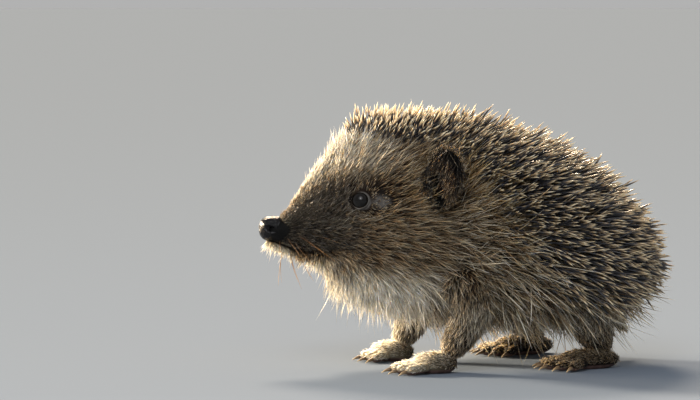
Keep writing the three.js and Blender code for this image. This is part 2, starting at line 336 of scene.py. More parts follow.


# %% [markdown]
# ## The face
#
# The formula's cone becomes a face by small swellings and hollows pushed out along the normal:
# the cheek over the jaw muscle, the pad that the whiskers grow from, the brow over the eye, a
# hollow round the eye and the line of the mouth, whose upper lip hangs over the lower one.

# %% Relief on the face
MOUTH_ALONG = (1.5, 4.5, 8.0, 12.0, 16.0, 19.5, 23.0)
MOUTH_HEIGHT = (41.8, 40.7, 39.5, 38.8, 38.5, 39.0, 40.2)
MOUTH_DEPTH, LIP_SWELL, CHIN_RECESS = 0.9, 0.35, 0.45


def mouth_height(along):
    """Height of the line of the mouth."""
    return through(MOUTH_ALONG, MOUTH_HEIGHT, along)


def relief(along, aside, height):
    """How far the skin stands out from the plain body, in mm: a sum of bells."""
    off_midline = ease(0.3, 2.0, np.abs(aside))
    above_mouth = height - mouth_height(along)
    mouth = ease(1.8, 4.0, along) * (1 - ease(21, 23.5, along))
    cut = -MOUTH_DEPTH * hump(above_mouth, 0, 0.4) + LIP_SWELL * hump(above_mouth, 1.1, 0.8)
    cut = cut - CHIN_RECESS * hump(above_mouth, -1.2, 1.0)
    cheek = 0.9 * spot(along, height, (41, 45), (9, 9))
    whisker_pad = 0.6 * spot(along, height, (12.5, 43.2), (3.5, 2.2))
    brow = 0.8 * spot(along, height, (31, 60.5), (6, 2.4))
    hollow = 0.7 * hump(from_eye_middle(along, height), 5.2, 1.8)
    return off_midline * (cheek + whisker_pad + brow - hollow + mouth * cut)


def body(u, v):
    """The plain body with its relief pushed out along the normal."""
    point, _, _, normal = directions(plain_body, u, v)
    along, aside, height = place_of(point)
    return point + relief(along, aside, height)[..., None] * normal


BODY_RINGS, BODY_SIDES = 220, 232
RINGS_TO_THE_HEAD = 1.6  # rings crowd towards the muzzle by this power
SIDES_TO_THE_CHEEKS = 0.08  # columns crowd towards the sides of the face
shares = np.linspace(0, 1, BODY_RINGS) ** RINGS_TO_THE_HEAD
turns = np.arange(BODY_SIDES) / BODY_SIDES
turns = turns + SIDES_TO_THE_CHEEKS * np.sin(4 * np.pi * turns) / 2
skin = closed_mesh("skin", body(*np.meshgrid(shares, turns, indexing="ij")))
print("bare body", len(skin.data.polygons), "faces")

# %% [markdown]
# ## Limbs and tail
#
# A leg or a tail is a tube along a curve, thick at the shoulder and thin at the wrist. The curve
# runs through three joints of the real limb, and the tube ends in a dome at both ends. The paw is
# a palm with five toes, built from the same tube and a ball, then fused by a fine remesh so that
# it looks like one soft foot. Its sole is pressed flat on the floor.

# %% Tubes and balls
LIMB_RINGS, LIMB_SIDES = 24, 28


def limb(joints):
    """A function of two shares for a tube. Joints are rows of along, aside, height and radius. The
    radius is multiplied by a dome, the square root of 1 - (2u - 1)⁶, which closes both ends."""
    joints = np.asarray(joints, float)
    centres = at(*joints[:, :3].T)
    knots = np.linspace(0, 1, len(joints))

    def line(u):
        return np.stack([through(knots, centres[:, i], u) for i in range(3)], -1)

    def surface(u, v):
        u, v = np.asarray(u, float), np.asarray(v, float)
        heading = unit(line(np.minimum(u + 0.01, 1)) - line(np.maximum(u - 0.01, 0)))
        across = unit(np.cross(heading, [1.0, 0.3, 0.0]))
        other = np.cross(heading, across)
        radius = through(knots, joints[:, 3], u) * np.sqrt(np.clip(1 - (2 * u - 1) ** 6, 0, 1))
        angle = 2 * np.pi * v[..., None]
        return line(u) + radius[..., None] * (across * np.cos(angle) + other * np.sin(angle))

    return surface


def ring_grid(rings, sides):
    """The two shares of each point of a closed grid. Rings crowd towards the poles as on a ball."""
    u = (1 - np.cos(np.linspace(0, np.pi, rings))) / 2
    return np.meshgrid(u, np.arange(sides) / sides, indexing="ij")


def tube(name, joints, rings=LIMB_RINGS, sides=LIMB_SIDES):
    """The mesh of a limb."""
    return closed_mesh(name, limb(joints)(*ring_grid(rings, sides)))


def ball(u, v):
    """Two places across and one along the axis of a ball of radius 1. From pole to pole the cosine
    is 1 - 2u, so the sine is 2√(u(1 - u))."""
    u = np.clip(u, 0, 1)
    sine, angle = 2 * np.sqrt(u * (1 - u)), 2 * np.pi * v
    return sine * np.cos(angle), sine * np.sin(angle), 1 - 2 * u


def egg(middle, radii, turn=0.0):
    """A function of two shares for an ellipsoid round a point, turned about the upright axis."""

    def surface(u, v):
        x, y, z = (radius * share for radius, share in zip(radii, ball(u, v)))
        turned_x = x * math.cos(turn) + y * math.sin(turn)
        turned_y = -x * math.sin(turn) + y * math.cos(turn)
        return np.stack([turned_x, turned_y, z], -1) + middle

    return surface


# %% The four legs and the tail
STEP = 7.0  # the right forepaw and the left hind paw stand this far ahead
FORELEG = {
    "joints": [(60, 20, 33, 8.5), (61, 23, 19, 6.2), (55, 22, 4.4, 3.3)],
    "palm": {"along": 52, "aside": 21.5, "length": 7.0, "width": 5.5, "thick": 3.6},
    "toes": {"length": 4.8, "radius": 1.35, "fan": 0.6},
}
HINDLEG = {
    "joints": [(102, 21, 33, 11.0), (101, 27, 18, 7.4), (110, 26, 4.4, 3.5)],
    "palm": {"along": 104, "aside": 26.5, "length": 11.2, "width": 5.1, "thick": 3.5},
    "toes": {"length": 4.8, "radius": 1.35, "fan": 0.45},
}
TAIL_JOINTS = [(112, 0, 26, 4.0), (122, 0, 15, 2.4), (127.5, 0, 9.5, 1.0)]
BOTH_SIDES = {"left": 1, "right": -1}
legs = []
for kind, build, ahead_side in (("fore", FORELEG, -1), ("hind", HINDLEG, 1)):
    for side_name, side in BOTH_SIDES.items():
        ahead = STEP if side == ahead_side else 0.0
        joints = [
            (along - ahead * i / 2, side * aside, height, radius)
            for i, (along, aside, height, radius) in enumerate(build["joints"])
        ]
        name = f"{kind}_{side_name}"
        legs.append({"name": name, "joints": joints, "side": side, "ahead": ahead, "build": build})
print("legs", [leg["name"] for leg in legs])

# %% Palms and toes
TOES = 5
TOE_ROOT, TOE_ROW = 0.4, 0.72  # shares of the palm's length and of its half width
OUTER_TOES_BACK = 0.2  # share of the palm's length
TOE_HEIGHTS = (1.7, 1.5, 0.9)  # of root, knuckle and tip, in radii of the toe
TOE_SWELL = (1.0, 1.05, 1.0)
PALM_HEIGHT = 0.75  # of the palm's middle, in its thicknesses


def toe_lines(leg):
    """Root, knuckle and tip of each toe, as rows of along, aside and height. Outer toes fan out and
    leave the palm a little further back."""
    palm, toes = leg["build"]["palm"], leg["build"]["toes"]
    place = np.linspace(-1, 1, TOES)
    fan = place * toes["fan"]
    root = np.full(TOES, TOE_ROOT * palm["length"])
    knuckle = palm["length"] * (1 - OUTER_TOES_BACK * np.abs(place))
    distance = np.stack([root, knuckle, knuckle + toes["length"]], 1)
    along = palm["along"] - leg["ahead"] - distance * np.cos(fan)[:, None]
    row = TOE_ROW * palm["width"] * place[:, None]
    aside = leg["side"] * palm["aside"] + distance * np.sin(fan)[:, None] + row
    height = toes["radius"] * np.broadcast_to(TOE_HEIGHTS, along.shape)
    return np.stack([along, aside, height], -1)


def toe_joints(leg):
    """The same lines with a radius at each joint, as a limb needs them."""
    radius = leg["build"]["toes"]["radius"] * np.array(TOE_SWELL)
    return [np.column_stack([line, radius]) for line in toe_lines(leg)]


def palm_surface(leg):
    """The palm's ellipsoid, turned with the midline."""
    palm = leg["build"]["palm"]
    along = palm["along"] - leg["ahead"]
    middle = at(along, leg["side"] * palm["aside"], palm["thick"] * PALM_HEIGHT)
    return egg(middle, (palm["length"], palm["width"], palm["thick"]), float(turn_at(along)))


# %% Paws fused, and the tail
PALM_RINGS, PALM_SIDES = 24, 32
TOE_RINGS, TOE_SIDES = 14, 16
TAIL_RINGS, TAIL_SIDES = 16, 18
PAW_VOXEL, PAW_SMOOTHINGS = 0.36, 6
FLOOR_CLEARANCE = 0.05


def above_floor(points):
    """The points, with those that would touch the floor lifted off it by a hair's breadth."""
    points[..., 2] = np.maximum(points[..., 2], FLOOR_CLEARANCE)
    return points


def make_paw(leg):
    """Palm and toes fused and smoothed, with the sole flat on the floor."""
    paw = closed_mesh("palm", palm_surface(leg)(*ring_grid(PALM_RINGS, PALM_SIDES)))
    join(paw, [tube("toe", joints, TOE_RINGS, TOE_SIDES) for joints in toe_joints(leg)])
    remesh = paw.modifiers.new("fuse", "REMESH")
    remesh.voxel_size = PAW_VOXEL * MM
    soften = paw.modifiers.new("soften", "SMOOTH")
    soften.iterations = PAW_SMOOTHINGS
    apply_modifiers(paw)
    move_vertices(paw, above_floor(coordinates(paw)))
    return paw


paws = [make_paw(leg) for leg in legs]
shins = [tube("shin", leg["joints"]) for leg in legs]
tail = tube("tail", TAIL_JOINTS, TAIL_RINGS, TAIL_SIDES)
print("paw faces", [len(paw.data.polygons) for paw in paws])

# %% [markdown]
# ## Ears
#
# A hedgehog's ear is a small round trumpet that leans out of the fur. Its outer wall flares from
# a narrow root inside the head to the rim, turns over there and runs back down to the ear canal
# as the inner wall. That is one closed surface: the first share goes up the outside and down the
# inside, the second goes round.

# %% Two trumpets
EAR = {"along": 53.6, "aside": 24.0, "height": 62.5, "width": 6.6, "tall": 9.6}
EAR_ROOT = {"along": 51.5, "aside": 14.5, "height": 57.0, "width": 3.2, "tall": 5.6}
EAR_FACING, EAR_LEAN = math.radians(45), math.radians(12)
EAR_WALL = 0.55
EAR_CANAL = 0.3  # the inner wall ends at this share of the way from the root to the rim
EAR_FLARE, EAR_ARCH = 1.4, 0.9  # powers by which the trumpet widens and its line bends
EAR_WAVE, EAR_DENT = 0.05, 0.12  # shares of the radius, at the rim


def ear_axes(side):
    """Across the ear, up it and out of its opening. The opening looks forwards and outwards."""
    turn = float(turn_at(EAR["along"]))
    ahead = np.array([-math.cos(turn), math.sin(turn), 0])
    left = np.array([-math.sin(turn), -math.cos(turn), 0])
    facing = ahead * math.cos(EAR_FACING) + side * left * math.sin(EAR_FACING)
    across = side * left * math.cos(EAR_FACING) - ahead * math.sin(EAR_FACING)
    up = np.array([0, 0, math.cos(EAR_LEAN)]) - facing * math.sin(EAR_LEAN)
    return across, up, facing


def ear(side):
    """A function of two shares. The first half of u climbs the outer wall, the second half goes
    down the inner one. Both are rings whose centre and radii run from the root's to the rim's,
    and towards the rim each ring waves a little and is dented where it meets the head."""
    across, up, facing = ear_axes(side)
    root = at(EAR_ROOT["along"], side * EAR_ROOT["aside"], EAR_ROOT["height"])
    rim = at(EAR["along"], side * EAR["aside"], EAR["height"])

    def surface(u, v):
        u, v = np.asarray(u, float), np.asarray(v, float)
        inside = u > 0.5
        climb = np.where(inside, 1 - (2 * u - 1) * (1 - EAR_CANAL), 2 * u)
        closing = np.where(inside, rounded_end(1 - u, 0.2), rounded_end(u, 0.06))
        wall = np.where(inside, EAR_WALL, 0.0)
        flare = climb**EAR_FLARE
        wide = EAR_ROOT["width"] + (EAR["width"] - EAR_ROOT["width"]) * flare - wall
        tall = EAR_ROOT["tall"] + (EAR["tall"] - EAR_ROOT["tall"]) * flare - wall
        angle = 2 * np.pi * v
        wave = EAR_WAVE * np.sin(3 * angle + 0.6) * flare
        fold = 1 + wave - EAR_DENT * hump(np.cos(angle), -1, 0.5) * flare
        middle = root + (rim - root) * climb[..., None] ** EAR_ARCH + 0.6 * wall[..., None] * facing
        sideways = (closing * wide * fold * np.cos(angle))[..., None] * across
        upward = (closing * tall * fold * np.sin(angle))[..., None] * up
        return middle + sideways + upward

    return surface


EAR_RINGS, EAR_SIDES = 44, 52
ear_turns = np.arange(EAR_SIDES) / EAR_SIDES
ear_grid = np.meshgrid(np.linspace(0, 1, EAR_RINGS), ear_turns, indexing="ij")
ears = [closed_mesh("ear", ear(side)(*ear_grid)) for side in BOTH_SIDES.values()]
print("ears", [len(thing.data.polygons) for thing in ears], "faces")

# %% [markdown]
# ## Eyelids
#
# The eye is a bead set in a low mound of bare grey skin. The lids hug the globe, roll over into a
# rounded rim, sink into one fold and run out under the hair. In front they draw out into the
# tear duct. The mound is close to a surface of revolution about the eye's axis, but its profile
# starts at a rim that is oval and pointed in front, so it is not quite round anywhere.

# %% Lids round the globe
LID_RINGS, LID_SIDES = 22, 96
LID_ROUND, LID_TALL = 2.76, 2.52  # half the opening's length and half its height
LID_GAP = 0.06  # between the lids and the globe
DUCT_LENGTH, DUCT_ANGLE, DUCT_WIDTH = 0.9, 190, 0.055  # the angle counts from the back, in degrees
SKIN_AT_EYE = 0.95  # how far the skin lies outside the middle of the globe
SOCKET = np.array([[0.0, 0.1], [0.5, 0.1], [0.93, 0.4]])  # rows of: share of the rim, mm outwards
UNDERSIDE = np.array([[1.2, -1.4], [0.0, -1.4]])  # the same, closing the mound inside the head
LID_PROFILE = np.array(  # share of the profile, mm outside the rim, mm above the rim
    [
        [0.00, 0.00, 0.00],
        [0.15, 0.05, 0.14],
        [0.30, 0.20, 0.18],
        [0.48, 0.38, 0.08],
        [0.60, 0.55, -0.05],
        [0.74, 0.85, -0.10],
        [1.00, 1.80, -0.40],
    ]
)


def eye_axes(side):
    """Out of the eye, back and up: the skin's normal and tangents where the eye sits."""
    angles = np.linspace(0.1, np.pi / 2, 400)
    heights = section(np.full(400, EYE["along"]), angles)[1]
    angle = angles[np.argmin(np.abs(heights - EYE["height"]))]
    u, v = np.array(share_of(EYE["along"])), np.array(side * angle / (2 * np.pi))
    _, back, _, outward = directions(plain_body, u, v)
    return outward, back, np.cross(outward, back) * (-side)


def on_body(points, side):
    """The body's own surface at the same places along and heights: above the widest level the aside
    is half the width times the sine of the angle whose cosine gives the height."""
    along, _, height = place_of(points)
    top, level, _, half = body_sizes(along)
    cosine = np.clip((height - level) / (top - level), -1, 1)
    aside = side * (half * np.sqrt(1 - cosine**2) + relief(along, side * half, height))
    return at(along, aside, height)


def lids(side):
    """Grid of the mound. The rim is an ellipse with the duct drawn out of it, and it lies on the
    globe: √(globe² - rim²) out from its middle. Inside the rim the grid drops into the socket,
    outside it follows the profile and settles from there into the skin of the body."""
    outward, back, up = eye_axes(side)
    middle = at(EYE["along"], side * EYE["aside"], EYE["height"])
    angle = np.linspace(0, 2 * np.pi, LID_SIDES, endpoint=False)
    oval = np.hypot(LID_TALL * np.cos(angle), LID_ROUND * np.sin(angle))
    duct = DUCT_LENGTH * hump(np.cos(angle - np.radians(DUCT_ANGLE)), 1, DUCT_WIDTH)
    rim = LID_ROUND * LID_TALL / oval + duct
    rim_out = np.sqrt(np.clip((EYE["radius"] + LID_GAP) ** 2 - rim**2, SKIN_AT_EYE**2, None))
    share = np.linspace(0, 1, LID_RINGS)[:, None]
    beyond, above = (through(LID_PROFILE[:, 0], sizes, share) for sizes in LID_PROFILE.T[1:])
    distance = np.concatenate([rim * SOCKET[:, :1], rim + beyond, rim * UNDERSIDE[:, :1]])
    all_round = np.ones(LID_SIDES)
    out = np.concatenate([SOCKET[:, 1:] * all_round, rim_out + above, UNDERSIDE[:, 1:] * all_round])
    around = np.cos(angle)[:, None] * back + np.sin(angle)[:, None] * up
    mound = middle + distance[..., None] * around + out[..., None] * outward
    shown = slice(len(SOCKET), len(SOCKET) + LID_RINGS)
    settle = ease(0.4, 0.85, share)[..., None]
    sunk = on_body(mound[shown], side) - (0.1 + 0.5 * ease(0.7, 1, share)[..., None]) * outward
    mound[shown] = mound[shown] * (1 - settle) + sunk * settle
    return mound


mounds = [closed_mesh("lids", lids(side)) for side in BOTH_SIDES.values()]
skin = join(skin, [*ears, *mounds, *shins, *paws, tail])
print("skin", len(skin.data.polygons), "faces")

# %% [markdown]
# ## Eyes and nose
#
# The globe is a ball with the slight bulge of the cornea. The nose is a soft pad with a
# comma-shaped nostril on each side and a groove down the middle; both are pressed into it with
# bells, as the relief of the face was.

# %% Globes
CORNEA_BULGE = 0.12
GLOBE_RINGS, GLOBE_SIDES = 48, 64


def globe(side):
    """A ball about the eye's own axis, swollen over its front."""
    places = ball(*ring_grid(GLOBE_RINGS, GLOBE_SIDES))
    outward, back, up = eye_axes(side)
    radius = EYE["radius"] + CORNEA_BULGE * ease(0.3, 1, places[2])
    local = sum(place[..., None] * axis for place, axis in zip(places, (back, up, outward)))
    return at(EYE["along"], side * EYE["aside"], EYE["height"]) + radius[..., None] * local


eyes = {name: closed_mesh("globe_" + name, globe(side)) for name, side in BOTH_SIDES.items()}
for name, thing in eyes.items():
    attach(thing, "root")
    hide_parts("eye_" + name)

# %% The nose pad
NOSE = {"along": 3.7, "height": 45.1, "reach": 4.5, "half": 4.3, "rise": 4.0}
NOSE_RINGS, NOSE_SIDES = 110, 150
NOSE_SQUARENESS = 2.5  # 2 would be a ball, and a large number a box
NOSTRIL_DEPTH = 1.15
NOSE_GRAIN, NOSE_GRAIN_DEPTH = 1.1, 0.08


def nose_grid():
    """A ball a little squarer than round, its front pole at the nose tip. Up, aside and ahead are
    its places in its own radii. Each nostril is a pit with a raised rim and a slit that curves
    back from it, and the groove is a bell across the middle, below the nostrils."""
    up, aside, ahead = ball(*ring_grid(NOSE_RINGS, NOSE_SIDES))
    power = NOSE_SQUARENESS
    square = (np.abs(ahead) ** power + np.abs(aside) ** power + np.abs(up) ** power) ** (-1 / power)
    from_nostril = np.hypot((ahead - 0.18 - 0.3 * up) / 0.26, (up - 0.05) / 0.2)
    slit = hump(up - 0.1 + 0.9 * (0.2 - ahead) ** 2, -0.05, 0.09) * ease(-0.75, -0.2, ahead)
    slit = slit * (1 - ease(0.15, 0.35, ahead))
    pit = hump(from_nostril, 0, 1.0) + 0.45 * slit
    nostril = 0.07 * hump(from_nostril, 1.6, 0.5) - NOSTRIL_DEPTH / NOSE["half"] * pit
    groove = 0.09 * hump(aside, 0, 0.08) * (1 - ease(-0.1, 0.35, up)) * ease(-0.2, 0.3, ahead)
    depth = square * (1 - groove + ease(0.3, 0.6, np.abs(aside)) * nostril)
    along = NOSE["along"] - NOSE["reach"] * ahead * depth
    points = at(along, NOSE["half"] * aside * depth, NOSE["height"] + NOSE["rise"] * up * depth)
    grain = waves(points.reshape(-1, 3), NOSE_GRAIN, 5).reshape(points.shape)
    outwards = unit(points - at(NOSE["along"], 0, NOSE["height"]))
    return points + NOSE_GRAIN_DEPTH * np.abs(grain[..., :1]) * outwards


nose = closed_mesh("nose_pad", nose_grid())
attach(nose, "root")
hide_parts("nose")
print("nose pad", len(nose.data.polygons), "faces")

# %% [markdown]
# ## Markings
#
# Skin, spines and hair share one set of markings, worked out from a place on the body, so they
# always agree. There are four shares between 0 and 1: charcoal on the muzzle and round the eye,
# gold between eye and ear and on the neck, pale cream on the brow, chin, throat and belly, and
# bare grey skin on the lids and behind the eye. What has none of them is agouti: brown hairs
# with a cream tip. Some marks are painted light: the charcoal paints shade round the root of the
# ear, the pale paints a highlight along the bridge of the muzzle, and a brown strip of chin under
# the mouth is painted shade.

# %% Four shares from a place
BROW_LINE = (49.0, 0.7, 58.5)  # the charcoal ends at this height, rising by this slope up to this


def strongest(*shares):
    """At each place, the largest of several shares."""
    return np.maximum.reduce(shares)


def charcoal_and_shade_share(along, height, over_line):
    """The muzzle up to the brow line and down to the mouth, a ring round the eye, and painted shade
    round the root of the ear."""
    muzzle = (1 - ease(23, 36, along)) * (1 - ease(-2, 3.5, over_line))
    muzzle = muzzle * (1 - ease(0.1, 0.9, mouth_height(along) - height))
    eye_ring = 0.35 * (1 - ease(34, 46, along))
    eye_ring = eye_ring * (1 - ease(3.2, 4.8, from_eye_middle(along, height)))
    # Painted shade: a dark patch round the root of the ear, where the ear's opening lies in shade.
    ear_shade_middle = (EAR_ROOT["along"] + 1.5, EAR_ROOT["height"] - 0.5)
    return strongest(muzzle, eye_ring, 0.8 * spot(along, height, ear_shade_middle, (3.2, 6)))


def pale_and_highlight_share(along, aside, height, over_line):
    """The brow, a painted highlight along the bridge of the muzzle, the chin below a strip of
    painted shade under the mouth, the throat, a faint belly, and a tuft in front of the ear."""
    from_midline = np.abs(aside)
    brow = ease(0.5, 6.0, over_line) * (1 - ease(30, 44, along))
    brow = brow * (1 - 0.5 * ease(4, 11, from_midline))
    # Painted highlight: a pale stripe along the bridge of the muzzle, for the light from behind
    # that catches its top.
    ridge_highlight = (1 - ease(0.8, 2.8, from_midline)) * ease(7, 12, along) * (1 - ease(22, 30, along))
    ridge_highlight = 0.6 * ridge_highlight * ease(-8, -5, over_line)
    # Painted shade: the chin turns pale only some way under the mouth, in a strip that widens
    # towards the back, so the white hair just under the mouth stays brown for the shade there.
    shaded_strip = 0.1 + 2.0 * ease(7, 15, along)
    chin = ease(shaded_strip, shaded_strip + 0.8, mouth_height(along) - height) * (1 - ease(17, 26, along))
    throat = (1 - ease(30, 38, height)) * (1 - ease(40, 62, along))
    belly = 0.35 * (1 - ease(20, 27, height)) * ease(6, 16, height)
    tuft = 0.9 * spot(along, height, (46.5, 59.5), (3.2, 2.0))
    return strongest(brow, ridge_highlight, chin, throat, belly, tuft)


def markings(along, aside, height):
    """Charcoal, gold, pale and bare at each place, each made of soft steps and bells."""
    over_line = height - np.minimum(BROW_LINE[0] + BROW_LINE[1] * (along - 6), BROW_LINE[2])
    cheek = 0.85 * spot(along, height, (49, 58), (7, 7))
    neck = 0.7 * spot(along, height, (63, 58), (9, 10))
    lids_shown = 1 - ease(2.75, 3.15, from_eye_middle(along, height))
    behind_eye = np.hypot((along - EYE["along"] - 6.0) / 2.6, (height - EYE["height"] + 0.3) / 1.7)
    return {
        "charcoal": charcoal_and_shade_share(along, height, over_line),
        "gold": strongest(cheek, neck),
        "pale": pale_and_highlight_share(along, aside, height, over_line),
        "bare": strongest(lids_shown, 0.75 * (1 - ease(0.5, 1.7, behind_eye))),
    }


def set_attribute(thing, name, values):
    """A float on each vertex, which materials can read by name."""
    attribute = thing.data.attributes.new(name, "FLOAT", "POINT")
    attribute.data.foreach_set("value", np.ascontiguousarray(values, dtype=np.float32))


# %% Markings on the skin
SOLE_HEIGHT = 1.6


def outside_body(along, aside, height):
    """1 on the plain body's own section and more outside it: (aside / half)² + (rise / reach)²,
    with a larger power under the widest level, where the section is squarer."""
    top, level, bottom, half = body_sizes(along)
    closing = np.maximum(closing_at(along), 0.05)
    power = np.where(height > level, 2, 2 / BELLY_SQUARENESS)
    reach = np.where(height > level, top - level, level - bottom)
    sideways = (np.abs(aside) / (closing * half)) ** power
    return sideways + (np.abs(height - level) / (closing * reach)) ** power


places = place_of(coordinates(skin))
shades = markings(*places)
in_ear = ease(1.05, 1.2, outside_body(*places)) * ease(44, 46, places[0]) * ease(50, 54, places[2])
shades["charcoal"] = np.maximum(shades["charcoal"], in_ear)
shades["gold"] = shades["gold"] * (1 - in_ear)
shades["pale"] = 0.7 * shades["pale"]
for name, values in shades.items():
    set_attribute(skin, name, values)
from_eye = from_eye_middle(places[0], places[2])
set_attribute(skin, "tone", 0.3 + 0.2 * (1 - ease(4, 8, from_eye)))
# The skin takes its colour from low on the hair ramps, a little higher near the eye. Under pale
# hair it is lighter still: partly the pale hair's own colour, partly painted light for the glow of
# the backlit chin fringe, brow and throat.
set_attribute(skin, "share", 0.08 + 0.3 * (1 - ease(3.5, 7, from_eye)) + 0.45 * shades["pale"])
set_attribute(skin, "sole", 1 - ease(SOLE_HEIGHT * 0.6, SOLE_HEIGHT, places[2]))
print("skin points in the ears", int((in_ear > 0.5).sum()), "of", len(in_ear))

# %% [markdown]
# ## Materials
#
# One function turns the hex colours of a paint chart into the linear ones that light is worked
# out with, one adds a node with its settings, its stops and its links, and one starts a material
# round its shader. Hair and skin share the nodes that turn the marking shares into a colour.

# %% Helpers for materials
def linear(hex_colour):
    """Each sRGB channel c becomes c / 12.92 near black and ((c + 0.055) / 1.055)^2.4 above."""
    srgb = np.array([int(hex_colour[i : i + 2], 16) for i in (1, 3, 5)]) / 255
    rgb = np.where(srgb <= 0.04045, srgb / 12.92, ((srgb + 0.055) / 1.055) ** 2.4)
    return (*rgb.tolist(), 1.0)


def add(tree, kind, inputs=None, stops=None, **settings):
    """Adds a node. An input that is a socket is linked, any other is a value. Stops are places and
    hex colours on a colour ramp."""
    made = tree.nodes.new(kind)
    for name, value in settings.items():
        setattr(made, name, value)
    for name, value in (inputs or {}).items():
        if isinstance(value, bpy.types.NodeSocket):
            tree.links.new(value, made.inputs[name])
        else:
            made.inputs[name].default_value = value
    if stops:
        ramp = made.color_ramp.elements
        while len(ramp) < len(stops):
            ramp.new(1.0)
        for element, (place, colour) in zip(ramp, stops):
            element.position = place
            element.color = linear(colour)
    return made


def start_material(name):
    """A new material with its node tree and its one shader."""
    material = bpy.data.materials.new(name)
    material.use_nodes = True
    tree = material.node_tree
    return material, tree, tree.nodes["Principled BSDF"]


# %% Hair colours from the marking shares
HAIR_PLACES = {  # from the root to the tip of a hair
    "agouti": (0.0, 0.46, 0.68, 0.87, 1.0),
    "charcoal": (0.0, 0.55, 0.82, 1.0),
    "gold": (0.0, 0.38, 0.62, 0.86, 1.0),
    "pale": (0.0, 0.25, 0.55, 1.0),
}
HAIR_COLOURS = {
    "agouti": ("#0a0705", "#281c13", "#83694d", "#d0b58c", "#f0e1c3"),
    "charcoal": ("#050505", "#131110", "#38322e", "#9a8f86"),
    "gold": ("#120b05", "#4f3617", "#ab8244", "#dcb877", "#f3dfae"),
    "pale": ("#6f6149", "#b9aa8c", "#e8ddc5", "#fbf5e8"),
}
HAIR_STOPS = {name: list(zip(HAIR_PLACES[name], HAIR_COLOURS[name])) for name in HAIR_PLACES}
MARKED = ("charcoal", "gold", "pale")


def coat_colour(tree):
    """The colour socket of hair: the agouti ramp, with the other three mixed in by their shares,
    then made lighter or darker by the hair's own tone."""
    share = add(tree, "ShaderNodeAttribute", attribute_name="share").outputs["Fac"]
    colour = add(tree, "ShaderNodeValToRGB", {0: share}, HAIR_STOPS["agouti"]).outputs[0]
    for marking in ("gold", "charcoal", "pale"):
        amount = add(tree, "ShaderNodeAttribute", attribute_name=marking).outputs["Fac"]
        ramp = add(tree, "ShaderNodeValToRGB", {0: share}, HAIR_STOPS[marking]).outputs[0]
        mix = add(tree, "ShaderNodeMix", {0: amount, 6: colour, 7: ramp}, data_type="RGBA")
        colour = mix.outputs[2]
    tone = add(tree, "ShaderNodeAttribute", attribute_name="tone").outputs["Fac"]
    value = add(tree, "ShaderNodeMapRange", {0: tone, 3: 0.3, 4: 1.7}).outputs[0]
    return add(tree, "ShaderNodeHueSaturation", {"Value": value, "Color": colour}).outputs[0]


# %% Skin under short hair
NAP_PER_MM, NAP_HEIGHT = 2.6, 0.2  # short hairs, drawn coarse enough to show
MOTTLE_PER_MM = 0.42  # blotches of bare skin, a little over 2 mm wide
BARE_STOPS = {  # from the dark to the light of the mottle
    "bare": [(0.3, "#484542"), (0.7, "#736f6b")],
    "sole": [(0.3, "#4b3a35"), (0.7, "#7b625a")],
}


def skin_material():
    """Soft skin with velvet hair too short to model: the coat's root colours, grey on the lids and
    pinkish brown on the soles, with a fine nap in the bump."""
    material, tree, shader = start_material("skin with velvet hair")
    colour = coat_colour(tree)
    places = add(tree, "ShaderNodeTexCoord").outputs["Object"]
    nap_size = {"Vector": places, "Scale": NAP_PER_MM / MM, "Detail": 3.0}
    nap = add(tree, "ShaderNodeTexNoise", nap_size).outputs[0]
    mottle_size = {"Vector": places, "Scale": MOTTLE_PER_MM / MM, "Detail": 4.0}
    mottle = add(tree, "ShaderNodeTexNoise", mottle_size).outputs[0]
    for marking, stops in BARE_STOPS.items():
        hairless = add(tree, "ShaderNodeValToRGB", {0: mottle}, stops).outputs[0]
        amount = add(tree, "ShaderNodeAttribute", attribute_name=marking).outputs["Fac"]
        mix = add(tree, "ShaderNodeMix", {0: amount, 6: colour, 7: hairless}, data_type="RGBA")
        colour = mix.outputs[2]
    tree.links.new(colour, shader.inputs["Base Color"])
    bump_size = {"Height": nap, "Strength": 0.6, "Distance": NAP_HEIGHT * MM}
    bump = add(tree, "ShaderNodeBump", bump_size)
    tree.links.new(bump.outputs[0], shader.inputs["Normal"])
    shader.inputs["Roughness"].default_value = 0.62
    shader.inputs["Specular IOR Level"].default_value = 0.12
    return material


skin.data.materials.clear()
skin.data.materials.append(skin_material())
skin.data.polygons.foreach_set("material_index", np.zeros(len(skin.data.polygons), np.int32))
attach(skin, "root")
flesh = [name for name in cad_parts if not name.startswith("eye_") and name != "nose"]
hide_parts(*flesh)
print("skin stands for", flesh)

# %% Wet nose and eyes
COBBLES_PER_MM, COBBLE_HEIGHT = 1.5, 0.2  # grains of two thirds of a millimetre
FLECKS_PER_MM = 0.9  # in the iris, about a millimetre wide


def nose_material():
    """Wet, grainy, nearly black skin: a cobbled bump under a clear film of water."""
    material, tree, shader = start_material("wet nose skin")
    places = add(tree, "ShaderNodeTexCoord").outputs["Object"]
    cobble_size = {"Vector": places, "Scale": COBBLES_PER_MM / MM}
    cobbles = add(tree, "ShaderNodeTexVoronoi", cobble_size).outputs["Distance"]
    tint = [(0.1, "#030303"), (0.7, "#0e0d10")]
    colour = add(tree, "ShaderNodeValToRGB", {0: cobbles}, tint).outputs[0]
    tree.links.new(colour, shader.inputs["Base Color"])
    bump_size = {"Height": cobbles, "Strength": 0.8, "Distance": COBBLE_HEIGHT * MM}
    bump = add(tree, "ShaderNodeBump", bump_size, invert=True)
    tree.links.new(bump.outputs[0], shader.inputs["Normal"])
    shader.inputs["Roughness"].default_value = 0.2
    shader.inputs["Specular IOR Level"].default_value = 0.25
    return material


